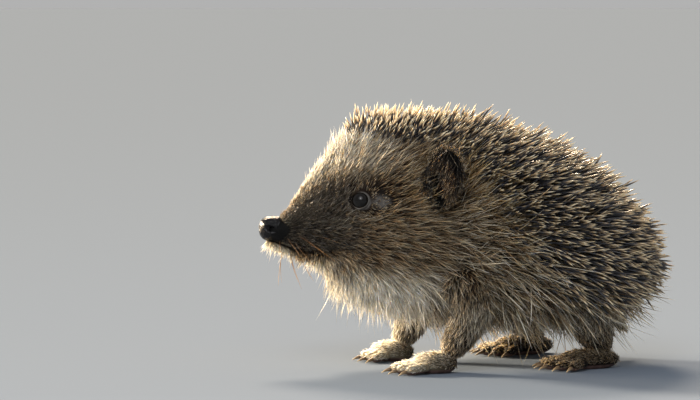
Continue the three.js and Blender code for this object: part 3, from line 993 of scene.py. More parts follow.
def eye_material():
    """A dark brown iris seen through the clear, wet cornea: close to black, with a sharp shine."""
    material, tree, shader = start_material("wet dark eye")
    places = add(tree, "ShaderNodeTexCoord").outputs["Object"]
    fleck_size = {"Vector": places, "Scale": FLECKS_PER_MM / MM}
    flecks = add(tree, "ShaderNodeTexNoise", fleck_size).outputs[0]
    iris = [(0.3, "#030202"), (0.8, "#100a07")]
    colour = add(tree, "ShaderNodeValToRGB", {0: flecks}, iris).outputs[0]
    tree.links.new(colour, shader.inputs["Base Color"])
    shader.inputs["Roughness"].default_value = 0.09
    shader.inputs["Specular IOR Level"].default_value = 0.32
    return material


nose.data.materials.append(nose_material())
wet_eye = eye_material()
for thing in eyes.values():
    thing.data.materials.append(wet_eye)

# %% [markdown]
# ## Strands
#
# Spines, hairs, whiskers and claws are the same thing at different sizes: a tapered prism whose
# centre line starts out of the skin and bends a little on its way. Thousands of them are worked
# out at once as one array and become one mesh. Real fur could be grown with Blender's hair, but
# only solid mesh survives outside Blender, so each strand has few sides and few rings.

# %% A field of strands
SKIN_DEPTH = 0.35  # thick strands start this far inside the skin, in mm
PATCH = 0.003  # each strand's own patch on the coat's map


def strands(root, lean, bend, length, width, steps, taper, sides, chance):
    """Vertices, as an array of strands by points. The centre line is root + length (t lean + t²
    bend) at each step t, and the radius is half the width times the taper there. The last step is
    the tip."""
    steps, taper = np.asarray(steps), np.asarray(taper)
    path = steps[:, None] * lean[:, None] + (steps**2)[:, None] * bend[:, None]
    line = root[:, None] + length[:, None, None] * path
    across = unit(np.cross(lean, chance.normal(size=lean.shape)))
    other = np.cross(lean, across)
    angle = 2 * np.pi * np.arange(sides) / sides
    ring = across[:, None] * np.cos(angle)[:, None] + other[:, None] * np.sin(angle)[:, None]
    radius = 0.5 * width[:, None] * taper[:-1]
    walls = line[:, :-1, None] + radius[..., None, None] * ring[:, None]
    return np.concatenate([walls.reshape(len(root), -1, 3), line[:, -1:]], 1)


def strand_faces(rings, sides):
    """Faces of one strand: the walls as rows of four corners, and as rows of three the tip and the
    cut root, which is a fan of triangles."""
    ring = np.arange(rings)[:, None] * sides + np.arange(sides)
    after = np.roll(ring, -1, axis=1)
    walls = np.stack([ring[:-1], after[:-1], after[1:], ring[1:]], -1).reshape(-1, 4)
    top = rings * sides
    tip = np.stack([ring[-1], after[-1], np.full(sides, top)], -1)
    root = np.stack([np.zeros(sides - 2, int), ring[0, 2:], ring[0, 1:-1]], -1)
    return walls, np.concatenate([tip, root])


def coat_piece(name, points, steps, sides, material, uv, attributes):
    """One mesh from strands of the same build. Every strand carries its attributes, each point its
    share of the way to the tip, and each corner its place on the map: the root's place plus a patch
    whose width goes round the strand and whose height goes along it."""
    steps = np.asarray(steps)
    count, each = points.shape[:2]
    rings = len(steps) - 1
    walls, triangles = strand_faces(rings, sides)
    loops = np.concatenate([walls.ravel(), triangles.ravel()])
    sizes = np.concatenate([np.full(len(walls), 4), np.full(len(triangles), 3)])
    corners = (loops + each * np.arange(count)[:, None]).ravel()
    totals = np.tile(sizes, count)
    starts = np.concatenate([[0], np.cumsum(totals)[:-1]])
    mesh = bpy.data.meshes.new(name)
    mesh.vertices.add(count * each)
    mesh.vertices.foreach_set("co", (points * MM).ravel().astype(np.float32))
    mesh.loops.add(len(corners))
    mesh.loops.foreach_set("vertex_index", corners.astype(np.int32))
    mesh.polygons.add(len(totals))
    mesh.polygons.foreach_set("loop_start", starts.astype(np.int32))
    mesh.polygons.foreach_set("use_smooth", np.ones(len(totals), bool))
    mesh.update(calc_edges=True)
    mesh.materials.append(material)
    thing = bpy.data.objects.new(name, mesh)
    bpy.context.scene.collection.objects.link(thing)
    share = np.concatenate([np.repeat(steps[:-1], sides), steps[-1:]])
    side = np.concatenate([np.tile(np.arange(sides) / sides, rings), [0.5]])
    set_attribute(thing, "share", np.tile(share, count))
    for label, values in attributes.items():
        set_attribute(thing, label, np.repeat(values, each))
    patch = np.stack([side, share], -1)[loops] * PATCH
    bake_map = mesh.uv_layers.new(name="OFBake")
    bake_map.data.foreach_set("uv", (uv[:, None] + patch).ravel().astype(np.float32))
    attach(thing, "root")
    print(name, count, "strands,", int(count * (2 * len(walls) + len(triangles))), "triangles")
    return thing


# %% [markdown]
# ## Where strands grow
#
# Roots are spread evenly by area: the surface is cut into small cells, each cell's share of the
# strands is its area times the density wanted there, and a strand is set wherever the running
# sum passes a whole number. Chance is seeded, so that every run grows the same coat.

# %% Even scattering
def scattered(surface, density, rows, columns, chance, u_span=(0.0, 1.0)):
    """Two shares for each root. Density is a function of the two shares, in strands per mm². Each
    root is nudged within its own cell, so that no row shows."""
    u_edges = np.linspace(*u_span, rows + 1)
    middles = (u_edges[1:] + u_edges[:-1]) / 2
    u, v = np.meshgrid(middles, (np.arange(columns) + 0.5) / columns, indexing="ij")
    step_u, step_v = (u_edges[1] - u_edges[0]) / 2, 0.5 / columns
    down = surface(np.minimum(u + step_u, 1), v) - surface(np.maximum(u - step_u, 0), v)
    around = surface(u, v + step_v) - surface(u, v - step_v)
    wanted = np.linalg.norm(np.cross(down, around), axis=-1) * density(u, v)
    total = np.cumsum(wanted.ravel())
    picks = np.searchsorted(total, np.arange(int(total[-1])) + chance.random())
    jitter = chance.uniform(-1, 1, (2, len(picks)))
    return u.ravel()[picks] + jitter[0] * step_u, v.ravel()[picks] + jitter[1] * step_v


# %% [markdown]
# ## Lie of the coat
#
# At each root a strand has a heading in the skin, a lift out of it and a length. On the brow the
# hair rakes up and back, on the cheeks straight back, on the flanks back and down. The spines
# stand almost upright over the brow and lie flatter and flatter towards the rump.

# %% Headings
BORDER_ALONG = (28.5, 31, 36, 45, 55, 62, 67, 72, 80, 95, 112, 125)
BORDER_ANGLE = (0, 10, 20, 28, 34, 50, 72, 90, 104, 114, 118, 118)
BORDER_START, NO_SPINES = (26.5, 29.5), 40


def spine_border(along):
    """How far down from the top the spines reach, in degrees, at each place along. Ahead of the
    brow it is far above the top, so that none grows there."""
    no_spines = NO_SPINES * (1 - ease(*BORDER_START, along))
    return through(BORDER_ALONG, BORDER_ANGLE, along) - no_spines


def degrees_from_top(v):
    """How far round the body a share is, counted from the top down either side."""
    return 360 * np.minimum(v % 1, 1 - v % 1)


def body_root(u, v):
    """Everything a strand needs to know of its root on the body."""
    point, back, around, normal = directions(plain_body, u, v)
    along, aside, height = place_of(point)
    down = around * np.where(v % 1 < 0.5, 1.0, -1.0)[:, None]
    place = {"along": along, "aside": aside, "height": height, "from_top": degrees_from_top(v)}
    point = point + relief(along, aside, height)[:, None] * normal
    return {"point": point, "back": back, "down": down, "normal": normal, "u": u, "v": v, **place}


def headed(root, heading, lift, spread, chance):
    """Unit vectors: back turned towards down by the heading and lifted by the lift, both in
    degrees, and then nudged by a random vector."""
    heading, lift = np.radians(heading), np.radians(lift)
    flat = root["back"] * np.cos(heading)[:, None] + root["down"] * np.sin(heading)[:, None]
    lean = flat * np.cos(lift)[:, None] + root["normal"] * np.sin(lift)[:, None]
    return unit(lean + spread * chance.normal(size=lean.shape))


BODY_MAP_CORNER, BODY_MAP_SIZE = np.array([0.02, 0.01]), np.array([0.66, 0.97])


def body_map(root):
    """The root's place on an unwrap of the body: along the midline and round it."""
    return BODY_MAP_CORNER + BODY_MAP_SIZE * np.stack([root["u"], root["v"] % 1], -1)


def keep(root, chosen):
    """The roots that a mask chooses."""
    return {name: values[chosen] for name, values in root.items()}


# %% [markdown]
# ## Spines
#
# A spine is a stiff hollow hair: cream at the root, slate-black for a stretch near the end, cream
# again at the sharp tip. It is thickest in the middle and narrows at both ends. Each grows at its
# own slant, so that they cross each other, and that is what makes the back bristle.

# %% Spine material
SPINE_BANDS = [  # from the root to the tip
    (0.0, "#75664f"),
    (0.3, "#bda57d"),
    (0.45, "#6b5e4e"),
    (0.52, "#2a2a2e"),
    (0.78, "#34343a"),
    (0.86, "#9c876a"),
    (0.91, "#d8c3a0"),
    (1.0, "#f0e0c2"),
]


def spine_material():
    """Keratin, smooth as a fingernail, with its bands along the strand. Each spine's tone moves
    the bands a little and makes the spine lighter or darker."""
    material, tree, shader = start_material("banded keratin spine")
    share = add(tree, "ShaderNodeAttribute", attribute_name="share").outputs["Fac"]
    tone = add(tree, "ShaderNodeAttribute", attribute_name="tone").outputs["Fac"]
    slide = add(tree, "ShaderNodeMapRange", {0: tone, 3: -0.05, 4: 0.09}).outputs[0]
    place = add(tree, "ShaderNodeMath", {0: share, 1: slide}, operation="ADD").outputs[0]
    colour = add(tree, "ShaderNodeValToRGB", {0: place}, SPINE_BANDS).outputs[0]
    value = add(tree, "ShaderNodeMapRange", {0: tone, 3: 0.72, 4: 1.08}).outputs[0]
    colour = add(tree, "ShaderNodeHueSaturation", {"Value": value, "Color": colour}).outputs[0]
    tree.links.new(colour, shader.inputs["Base Color"])
    shader.inputs["Subsurface Weight"].default_value = 0.4
    shader.inputs["Subsurface Radius"].default_value = (1.0, 0.8, 0.55)
    shader.inputs["Subsurface Scale"].default_value = 0.0008
    shader.inputs["Roughness"].default_value = 0.32
    shader.inputs["IOR"].default_value = 1.54
    shader.inputs["Specular IOR Level"].default_value = 0.45
    return material


# %% Where spines stand and how they slant
SPINE_DENSITY = 0.9  # per mm²
SPINE_CELLS = (96, 700)
SPINE_LIFT_ALONG, SPINE_LIFT = (27, 45, 60, 75, 95, 125), (84, 68, 52, 41, 35, 30)
SPINE_HEADING_DOWN, SPINE_HEADING = (0, 60, 90, 120), (0, 2, 14, 26)
HEADING_SPREAD, LIFT_SPREAD = 14, 9
chance = np.random.default_rng(7)


def spine_density(u, v):
    """Even over the cap of spines, denser over the brow, and thinning out at the border."""
    crest = 1 + 0.7 * (1 - ease(34, 52, along_of(u)))
    past_border = degrees_from_top(v) - spine_border(along_of(u))
    return SPINE_DENSITY * crest * (1 - ease(-4, 4, past_border))


root = body_root(*scattered(plain_body, spine_density, *SPINE_CELLS, chance))
along, from_top, count = root["along"], root["from_top"], len(root["along"])
heading = through(SPINE_HEADING_DOWN, SPINE_HEADING, from_top) * ease(50, 75, along)
heading = heading + HEADING_SPREAD * chance.normal(size=count)
lift = through(SPINE_LIFT_ALONG, SPINE_LIFT, along)
lift = lift - 10 * ease(40, 100, from_top) * ease(55, 75, along)
lift = lift + LIFT_SPREAD * chance.normal(size=count)
lean = headed(root, heading, lift, 0.05, chance)
print(count, "spines, from", int(lift.min()), "to", int(lift.max()), "degrees out of the skin")

# %% Spines
SPINE_STEPS = (0.0, 0.2, 0.5, 0.78, 0.92, 1.0)
SPINE_TAPER = (0.55, 0.9, 1.0, 0.92, 0.55, 0.0)
SPINE_SIDES = 4
SPINE_LENGTH_ALONG, SPINE_LENGTH = (27, 34, 50, 70, 125), (11.0, 11.5, 13.0, 17.0, 16.5)
SPINE_WIDTH_ALONG, SPINE_WIDTH = (24, 40, 70, 125), (0.5, 0.58, 0.75, 0.78)
BORDER_LENGTH = 0.72  # at the border, as a share of the length

inside_border = ease(0, 14, np.clip(spine_border(along) - from_top, 0, 30))
length = through(SPINE_LENGTH_ALONG, SPINE_LENGTH, along)
length = length * (BORDER_LENGTH + (1 - BORDER_LENGTH) * inside_border)
length = length * chance.uniform(0.86, 1.1, count)
width = through(SPINE_WIDTH_ALONG, SPINE_WIDTH, along) * chance.uniform(0.85, 1.1, count)
bend = 0.06 * chance.normal(size=lean.shape) - 0.05 * root["normal"]
start = root["point"] - SKIN_DEPTH * root["normal"]
build = (SPINE_STEPS, SPINE_TAPER, SPINE_SIDES)
points = strands(start, lean, bend, length, width, *build, chance)
# Each spine's tone is random, with painted light and shade laid over it: darker from the upper
# flank down, where the sides of the spines lie in shade from the light behind them, lighter again
# towards the border of the spines, and paler over the front of the crest, for the sun shining
# through the spine tips from behind.
tone = 1 - 0.5 * ease(15, 60, from_top) + 0.3 * ease(75, 110, from_top)
tone = chance.random(count) * tone
painted_crest_light = 0.8 * (1 - ease(45, 65, along)) * (1 - ease(14, 34, from_top))
tone = tone + (1 - tone) * painted_crest_light
keratin = spine_material()
for side_name, chosen in (("left", root["v"] % 1 < 0.5), ("right", root["v"] % 1 >= 0.5)):
    name, uv, shades = "spines_" + side_name, body_map(keep(root, chosen)), {"tone": tone[chosen]}
    coat_piece(name, points[chosen], SPINE_STEPS, SPINE_SIDES, keratin, uv, shades)
print("spine tips up to", points[:, -1, 2].max().round(1), "mm high")

# %% [markdown]
# ## Hair
#
# Hair grows everywhere else. It starts as a velvet of about 2 mm on the muzzle and gets longer all
# the way to the skirt, where it hangs over the flanks in thin crossing wisps. A hair is dark at the
# root and cream at the tip. Round the eye it parts and stays short, and it leaves the mouth free.
# Smooth waves over the body pull neighbouring hairs the same way, so that they gather into locks.

# %% Hair material
def hair_material():
    """Coarse keratin hair: the marking colours from root to tip, with a dull shine."""
    material, tree, shader = start_material("coarse hair")
    tree.links.new(coat_colour(tree), shader.inputs["Base Color"])
    shader.inputs["Roughness"].default_value = 0.45
    shader.inputs["Specular IOR Level"].default_value = 0.25
    shader.inputs["Subsurface Weight"].default_value = 0.6
    shader.inputs["Subsurface Radius"].default_value = (1.0, 0.8, 0.55)
    shader.inputs["Subsurface Scale"].default_value = 0.0005
    return material


hair = hair_material()

# %% How long hair is and how it lies
HAIR_ALONG = (2, 6, 10, 14, 20, 27, 34, 42, 52, 62, 75, 124)
HAIR_LENGTH = (1.5, 1.7, 2.1, 2.7, 3.6, 5.4, 8.0, 11.0, 13.0, 15.0, 17.0, 15.5)
HAIR_LIFT_ALONG, HAIR_LIFT = (2, 12, 20, 40, 70), (24, 19, 16, 16, 22)
PATCHES = {  # where hair differs: its length in mm and its lift in degrees
    "brow": (5.6, 46),
    "chin": (3.6, 86),
    "behind_eye": (2.0, 20),
    "by_ear": (4.5, 15),
    "throat": (8.5, 62),
    "belly": (8.0, 38),
}


def hair_heading(root):
    """Degrees down from straight back: raked up on the brow and over the ear, level on the cheek,
    and down on the flank."""
    head = through([0, 30, 60, 80, 100, 130, 180], [0, -30, -34, -22, -4, 14, 0], root["from_top"])
    flank = through([0, 60, 90, 120, 150, 180], [0, -8, 10, 30, 22, 0], root["from_top"])
    on_head = ease(13, 25, root["along"]) * (1 - ease(54, 74, root["along"]))
    on_flank = ease(54, 74, root["along"])
    return head * on_head + flank * on_flank


def lie_of_hair(root):
    """Length in mm and lift in degrees. Each starts from its value along the body and moves towards
    the values of the brow and of the other patches by smooth shares."""
    along, from_top, height = root["along"], root["from_top"], root["height"]
    length = through(HAIR_ALONG, HAIR_LENGTH, along)
    lift = through(HAIR_LIFT_ALONG, HAIR_LIFT, along)
    behind_eye = np.hypot(0.8 * (along - EYE["along"] - 5.5), height - EYE["height"])
    from_ear = np.array([along - EAR_ROOT["along"] + 2.5, height - EAR_ROOT["height"] - 1.0])
    shares = {
        "brow": ease(15, 26, along) * (1 - ease(32, 42, along)) * (1 - ease(5, 35, from_top)),
        "chin": ease(0.2, 0.9, mouth_height(along) - height) * (1 - ease(17, 22, along)),
        "behind_eye": 1 - ease(1.8, 4.4, behind_eye),
        "by_ear": 1 - ease(0.7, 1.3, np.hypot(from_ear[0] / 6.0, from_ear[1] / 7.5)),
        "throat": ease(110, 145, from_top) * ease(17, 23, along) * (1 - ease(50, 66, along)),
        "belly": ease(120, 150, from_top) * ease(50, 66, along),
    }
    for patch, share in shares.items():
        length = length + (PATCHES[patch][0] - length) * share
        lift = lift + (PATCHES[patch][1] - lift) * share
    return length, lift


# %% The shade of each hair
DARK_HAIRS, DARKENING = 0.38, 0.34  # the share of hairs that are darker, and by how much
STREAK_WAVELENGTH, STREAK_SEED = 2.4, 19
PALE_WISPS, WISP_PALENESS = 0.25, 0.55


def hair_shades(root, chance):
    """The markings at the roots, each strand a little off, with dark hairs among the pale ones of
    the head and pale wisps on the skirt."""
    along, height = root["along"], root["height"]
    shades = markings(along, root["aside"], height)
    blur = chance.normal(size=len(along))
    for marking in MARKED:
        shades[marking] = np.clip(shades[marking] + 0.12 * blur, 0, 1)
    dark_ones = (chance.random(len(along)) < 0.4) * (1 - ease(44, 60, along)) * ease(10, 16, along)
    shades["pale"] = shades["pale"] * (1 - 0.75 * dark_ones * ease(50, 56, height))
    wisps = (chance.random(len(along)) < PALE_WISPS) * ease(44, 60, along)
    wisps = wisps * ease(60, 85, root["from_top"])
    shades["pale"] = np.maximum(shades["pale"], WISP_PALENESS * wisps)
    return shades


def hair_tone(root, build, pale, chance):
    """Lightness between 0 and 1: the build's own, spread by chance, with some hairs darker, in
    smooth streaks over the body, lighter where it is pale and darker by the nose."""
    count = len(pale)
    tone = build["tone"] + 0.2 * chance.normal(size=count)
    tone = tone - DARKENING * (chance.random(count) < DARK_HAIRS) * (1 - 0.6 * pale)
    tone = tone + build["streak"] * waves(root["point"], STREAK_WAVELENGTH, STREAK_SEED)[:, 0]
    by_nose = (1 - ease(9, 17, root["along"])) * (1 - ease(0.2, 0.6, pale))
    return np.clip(tone + 0.32 * pale - 0.25 * by_nose, 0, 1)


# %% Growing hair
HAIR_SIDES = 3
STRAY_HAIRS, STRAY_LENGTH = 0.12, 1.5  # the share of hairs that stick out, and by how much
LOCK_SEED = 11


def hair_piece(name, root, lean, length, build, shades, chance):
    """Strands of one build from their roots, with the floor kept clear of them."""
    bend = -build["curl"] * root["normal"] + 0.1 * chance.normal(size=lean.shape)
    bend = bend + np.array([0, 0, -1.0]) * build["droop"]
    width = build["width"] * chance.uniform(0.75, 1.2, len(length))
    start = root["point"] - build["depth"] * root["normal"]
    steps, taper = build["steps"], build["taper"]
    points = strands(start, lean, bend, length, width, steps, taper, HAIR_SIDES, chance)
    carried = {marking: shades[marking] for marking in MARKED}
    carried["tone"] = hair_tone(root, build, shades["pale"], chance)
    points = above_floor(points)
    return coat_piece(name, points, steps, HAIR_SIDES, hair, root["map"], carried)


def parted(root, lean, from_eye, distance):
    """Headings turned up above the eye and down below it, more and more towards it."""
    part = 0.9 * (1 - ease(3.0, 7.5, distance)) * from_eye[:, 1] / np.maximum(distance, 0.1)
    return unit(lean - part[:, None] * root["down"])


def free_run(root, lean, from_eye, distance):
    """How far a hair can run before it crosses the globe. A line that passes a circle of radius r
    at a distance d meets it √(r² - d²) before the middle; one that misses it has 99 mm."""
    sweep = np.stack([(lean * root["back"]).sum(-1), -(lean * root["down"]).sum(-1)], -1)
    ahead = -(from_eye * unit(sweep)).sum(-1)
    missed_by = np.maximum(distance**2 - ahead**2, 0)
    half_chord = np.sqrt(np.maximum(EYE["radius"] ** 2 - missed_by, 0))
    return np.where((ahead > 0) & (half_chord > 0), ahead - half_chord, 99)


def grow_hair(name, density, span, cells, build, chance, wanted):
    """Hair on one stretch of the body. Round the eye it is shorter, stands up more and parts, and a
    hair that would cross the globe stops short of it."""
    span = [share_of(place) for place in span]
    root = body_root(*scattered(plain_body, density, *cells, chance, span))
    root = keep(root, wanted(root))
    count = len(root["along"])
    length, lift = lie_of_hair(root)
    length = length * chance.uniform(0.7, 1.25, count)
    length = length * np.where(chance.random(count) < STRAY_HAIRS, STRAY_LENGTH, 1.0)
    from_eye = np.stack([root["along"] - EYE["along"], root["height"] - EYE["height"]], -1)
    distance = np.linalg.norm(from_eye, axis=-1)
    length = np.maximum(length * (0.35 + 0.65 * ease(3.0, 9.5, distance)), 1.3)
    lift = np.maximum(lift, 30 * (1 - ease(3.0, 6.0, distance)))
    lift = lift + build["lift_spread"] * chance.normal(size=count)
    heading = hair_heading(root) + build["spread"] * chance.normal(size=count)
    lean = parted(root, headed(root, heading, lift, 0.03, chance), from_eye, distance)
    lean = unit(lean + waves(root["point"], build["lock"], LOCK_SEED) * build["lock_pull"])
    length = np.minimum(length, np.maximum(free_run(root, lean, from_eye, distance), 0.8))
    root["map"] = body_map(root)
    return hair_piece(name, root, lean, length, build, hair_shades(root, chance), chance)


# %% Where hair grows
LID_RADIUS = 2.9
MOUTH_END, CHIN_END = 21.5, 20
SPINES_OVERLAP = (-12, 4)  # hair fades in over these degrees past the border of the spines
THINNED_BARE, BARE_SEED = 0.6, 3
THINNED_CHIN, CHIN_SEED = 0.68, 4


def off_eye_and_mouth(root):
    """A test of roots. It leaves free the lids, the line of the mouth and the fold behind the nose,
    and thins the hair out on bare skin and on the chin."""
    along, height = root["along"], root["height"]
    mouth = mouth_height(along)
    on_mouth = (np.abs(height - mouth + 0.15) < 0.35) & (along < MOUTH_END)
    in_fold = (height > mouth) & (along < 5.2 + 3.4 * hump(height, 44.8, 2.4))
    bare = markings(along, root["aside"], height)["bare"]
    thinned = np.random.default_rng(BARE_SEED).random(len(bare)) < THINNED_BARE * bare
    on_chin = (height < mouth - 0.8) & (along < CHIN_END)
    shaved = on_chin & (np.random.default_rng(CHIN_SEED).random(len(bare)) < THINNED_CHIN)
    on_lids = from_eye_middle(along, height) <= LID_RADIUS
    return ~(on_lids | on_mouth | in_fold | thinned | shaved)


def fur_density(places, per_mm2):
    """Stated densities along the body, outside the spines and a few degrees inside their border."""

    def density(u, v):
        past_border = degrees_from_top(v) - spine_border(along_of(u))
        return through(places, per_mm2, along_of(u)) * ease(*SPINES_OVERLAP, past_border)

    return density


# %% Three builds of hair
# Width, depth of the root and lock, the width of a lock, are in mm, and the spreads in degrees.
VELVET = dict(
    steps=(0.0, 0.55, 1.0), taper=(0.8, 0.7, 0.0), width=0.24, depth=0.12, curl=0.05, droop=0.0,
    spread=9, lift_spread=6, lock=3.0, lock_pull=0.12, tone=0.42, streak=0.06,
)
FACE_HAIR = dict(
    steps=(0.0, 0.35, 0.7, 1.0), taper=(0.8, 0.9, 0.65, 0.0), width=0.3, depth=0.2, curl=0.06,
    droop=0.02, spread=9, lift_spread=7, lock=4.5, lock_pull=0.19, tone=0.5, streak=0.14,
)
LONG_HAIR = dict(
    steps=(0.0, 0.3, 0.6, 0.85, 1.0), taper=(0.8, 1, 0.8, 0.5, 0.0), width=0.33, depth=0.35,
    curl=0.08, droop=0.08, spread=24, lift_spread=11, lock=8.0, lock_pull=0.2, tone=0.37,
    streak=0.2,
)

chance = np.random.default_rng(21)
short = fur_density([2, 12, 26], [13.0, 9.5, 8.5])
middling = fur_density([24, 34, 44, 58], [8.4, 6.1, 4.4, 3.4])
longest = fur_density([54, 70, 124], [3.0, 2.4, 2.05])
grow_hair("muzzle_velvet", short, (1.6, 26), (80, 500), VELVET, chance, off_eye_and_mouth)
for side_name, side in BOTH_SIDES.items():

    def on_skirt(root):
        return root["aside"] * side >= 0

    def on_face(root):
        return off_eye_and_mouth(root) & on_skirt(root)

    name = "face_hair_" + side_name
    grow_hair(name, middling, (25, 58), (90, 600), FACE_HAIR, chance, on_face)
    name = "skirt_hair_" + side_name
    grow_hair(name, longest, (55, 124), (110, 500), LONG_HAIR, chance, on_skirt)

# %% [markdown]
# ## Legs, paws, tail and ears
#
# These grow their hair from their own tubes, so each root knows the direction down the limb. A
# root that the body has swallowed is left out. Every tube has its own small square on the map.
# The ear is furred short on the outside, and long dark hairs hang across its opening.

# %% Hair on tubes
MAP_CELLS = 6  # the tubes' squares form a block of this many by this many, right of the body's
MAP_CORNER, MAP_STEP = np.array([0.70, 0.01]), np.array([0.049, 0.165])
MAP_SQUARE = np.array([0.042, 0.155])
TUBE_CELLS = (60, 60)


def tube_root(surface, u, v, cell, flip=1):
    """The same as body_root for a tube, with the direction along it in place of back. Flip is -1
    where the shares run the other way round, so that the normal still points out. Its strands
    count as growing from the top, where no pale wisps are."""
    point, along_tube, around, normal = directions(surface, u, v)
    along, aside, height = place_of(point)
    corner = MAP_CORNER + MAP_STEP * np.array([cell % MAP_CELLS, cell // MAP_CELLS])
    uv = corner + np.stack([u, v % 1], -1) * MAP_SQUARE
    place = {"along": along, "aside": aside, "height": height, "from_top": 0 * along, "map": uv}
    return {"point": point, "back": along_tube, "down": around, "normal": flip * normal, **place}


def merged(roots):
    """Several root tables as one."""
    return {name: np.concatenate([root[name] for root in roots]) for name in roots[0]}


def fur_on(surface, per_mm2, cell, chance, flip=1, u_span=(0.02, 0.98)):
    """Roots spread over a tube, outside the body."""
    u, v = scattered(surface, lambda u, v: per_mm2 + 0 * u, *TUBE_CELLS, chance, u_span)
    root = tube_root(surface, u, v, cell, flip)
    return keep(root, outside_body(root["along"], root["aside"], root["height"]) > 1.0)


def short_lean(root, spread, lift, lift_spread, nudge, chance):
    """Headings down the limb with a spread, lifted a little, all in degrees."""
    count = len(root["along"])
    heading = spread * chance.normal(size=count)
    return headed(root, heading, lift + lift_spread * chance.normal(size=count), nudge, chance)


# %% Hair on the legs and the tail
LEG_HAIR = {**FACE_HAIR, "tone": 0.4}
LEG_PER_MM2 = 3.1
LEG_LOCK, LEG_LOCK_SEED = 4.0, 12
chance = np.random.default_rng(33)
tubes = [limb(leg["joints"]) for leg in legs] + [limb(TAIL_JOINTS)]
root = merged([fur_on(surface, LEG_PER_MM2, cell, chance) for cell, surface in enumerate(tubes)])
length = through([2, 8, 20, 30], [1.4, 2.4, 3.8, 5.5], root["height"])
length = length * chance.uniform(0.7, 1.2, len(length))
lean = short_lean(root, 14, 17, 6, 0.04, chance)
lean = unit(lean + 0.12 * waves(root["point"], LEG_LOCK, LEG_LOCK_SEED))
shades = hair_shades(root, chance)
hair_piece("leg_hair", root, lean, length, LEG_HAIR, shades, chance)

# %% Hair on the paws
PAW_VELVET = {**VELVET, "tone": 0.3}
PALM_PER_MM2, TOE_PER_MM2 = 6.0, 7.0
PALM_CELL, TOE_CELL = 8, 12  # their first squares on the map


def ahead_of(root):
    """From each root, 1 mm towards the nose."""
    return at(root["along"] - 1, root["aside"], root["height"]) - root["point"]


roots = []
for paw, leg in enumerate(legs):
    palm = fur_on(palm_surface(leg), PALM_PER_MM2, PALM_CELL + paw, chance, -1)
    out_of_skin = (ahead_of(palm) * palm["normal"]).sum(1)[:, None] * palm["normal"]
    palm["back"] = unit(ahead_of(palm) - out_of_skin)  # on a paw hair points towards the toes
    roots.append(palm)
    for toe, joints in enumerate(toe_joints(leg)):
        cell = TOE_CELL + TOES * paw + toe
        roots.append(fur_on(limb(joints), TOE_PER_MM2, cell, chance, 1, (0.3, 0.85)))
root = merged(roots)
root = keep(root, root["normal"][:, 2] > -0.3)
length = through([1, 3, 6], [1.1, 1.7, 2.4], root["height"])
length = length * chance.uniform(0.7, 1.25, len(length))
lean = short_lean(root, 14, 18, 6, 0.04, chance)
shades = hair_shades(root, chance)
hair_piece("paw_velvet", root, lean, length, PAW_VELVET, shades, chance)

# %% Hair on the ears
EAR_HAIR = {**FACE_HAIR, "tone": 0.18}
EAR_PER_MM2 = 5.0
EAR_CELLS = ((6, 1), (7, -1))  # each ear's square on the map, and its side
EAR_VELVET_LENGTH, EAR_HAIR_LENGTH = 3.2, 8.0
EAR_LOCK, EAR_LOCK_SEED = 3.0, 13
backs, openings = [], []
for cell, side in EAR_CELLS:
    backs.append(fur_on(ear(side), EAR_PER_MM2, cell, chance, side, (0.12, 0.5)))
    openings.append(fur_on(ear(side), EAR_PER_MM2, cell, chance, side, (0.49, 0.75)))
root = merged(backs)
lean = short_lean(root, 24, 14, 9, 0.05, chance)
length = EAR_VELVET_LENGTH * chance.uniform(0.4, 1.2, len(lean))
shades = hair_shades(root, chance)
shades["charcoal"] = np.maximum(shades["charcoal"], 0.7)
shades["gold"] = 0 * shades["gold"]
hair_piece("ear_velvet", root, lean, length, VELVET, shades, chance)

# %% Long hair across the opening of the ears
root = merged(openings)
root = keep(root, root["height"] > EAR["height"] - 2)
count = len(root["along"])
left_of = at(root["along"], root["aside"] + 1, root["height"]) - root["point"]
outwards = np.sign(root["aside"])[:, None] * left_of
lean = 0.35 * outwards + 0.3 * ahead_of(root) + 0.2 * root["normal"] + [0, 0, -0.9]
locks = waves(root["point"], EAR_LOCK, EAR_LOCK_SEED)
lean = unit(lean + 0.16 * chance.normal(size=(count, 3)) + 0.25 * locks)
length = EAR_HAIR_LENGTH * chance.uniform(0.55, 1.15, count)
none = np.zeros(count)
shades = {"charcoal": chance.uniform(0.9, 1.0, count), "gold": none, "pale": none}
hair_piece("ear_hair", root, lean, length, EAR_HAIR, shades, chance)

# %% [markdown]
# ## Whiskers and claws
#
# Whiskers are long stiff strands from the upper lip and the chin. Each is given by its root and
# by how far it goes back, down and out. A claw is a short thick strand with eight sides that
# bends towards the ground from the end of its toe.

# %% Whiskers
# Columns: along and height of the root, then back, down, out, and length in mm.
WHISKERS = np.array(
    [
        [7.0, 39.2, -0.28, 1.0, 0.05, 13.0],
        [8.4, 39.0, 0.14, 1.0, 0.12, 12.5],
        [11.0, 38.2, 0.34, 1.0, 0.08, 10.0],
        [5.8, 41.6, -0.10, 0.55, 0.8, 9.0],
        [8.0, 42.6, 0.25, 0.45, 0.8, 11.0],
        [10.0, 41.4, 0.45, 0.60, 0.7, 13.0],
        [11.0, 43.6, 0.60, 0.30, 0.75, 14.0],
        [13.0, 42.2, 0.75, 0.45, 0.60, 15.0],
        [14.0, 44.4, 0.85, 0.20, 0.60, 14.0],
    ]
)
WHISKER_STEPS = (0.0, 0.15, 0.3, 0.45, 0.6, 0.75, 0.9, 1.0)
WHISKER_TAPER = (1.0, 0.95, 0.85, 0.75, 0.6, 0.45, 0.25, 0.0)
WHISKER_SIDES = 4
FINE_WIDTH, STIFF_WIDTH = 0.13, 0.25  # of those that stand out sideways, and of those that hang
WHISKER_STOPS = [(0.0, "#2a1b10"), (0.35, "#7d522a"), (1.0, "#d9a361")]


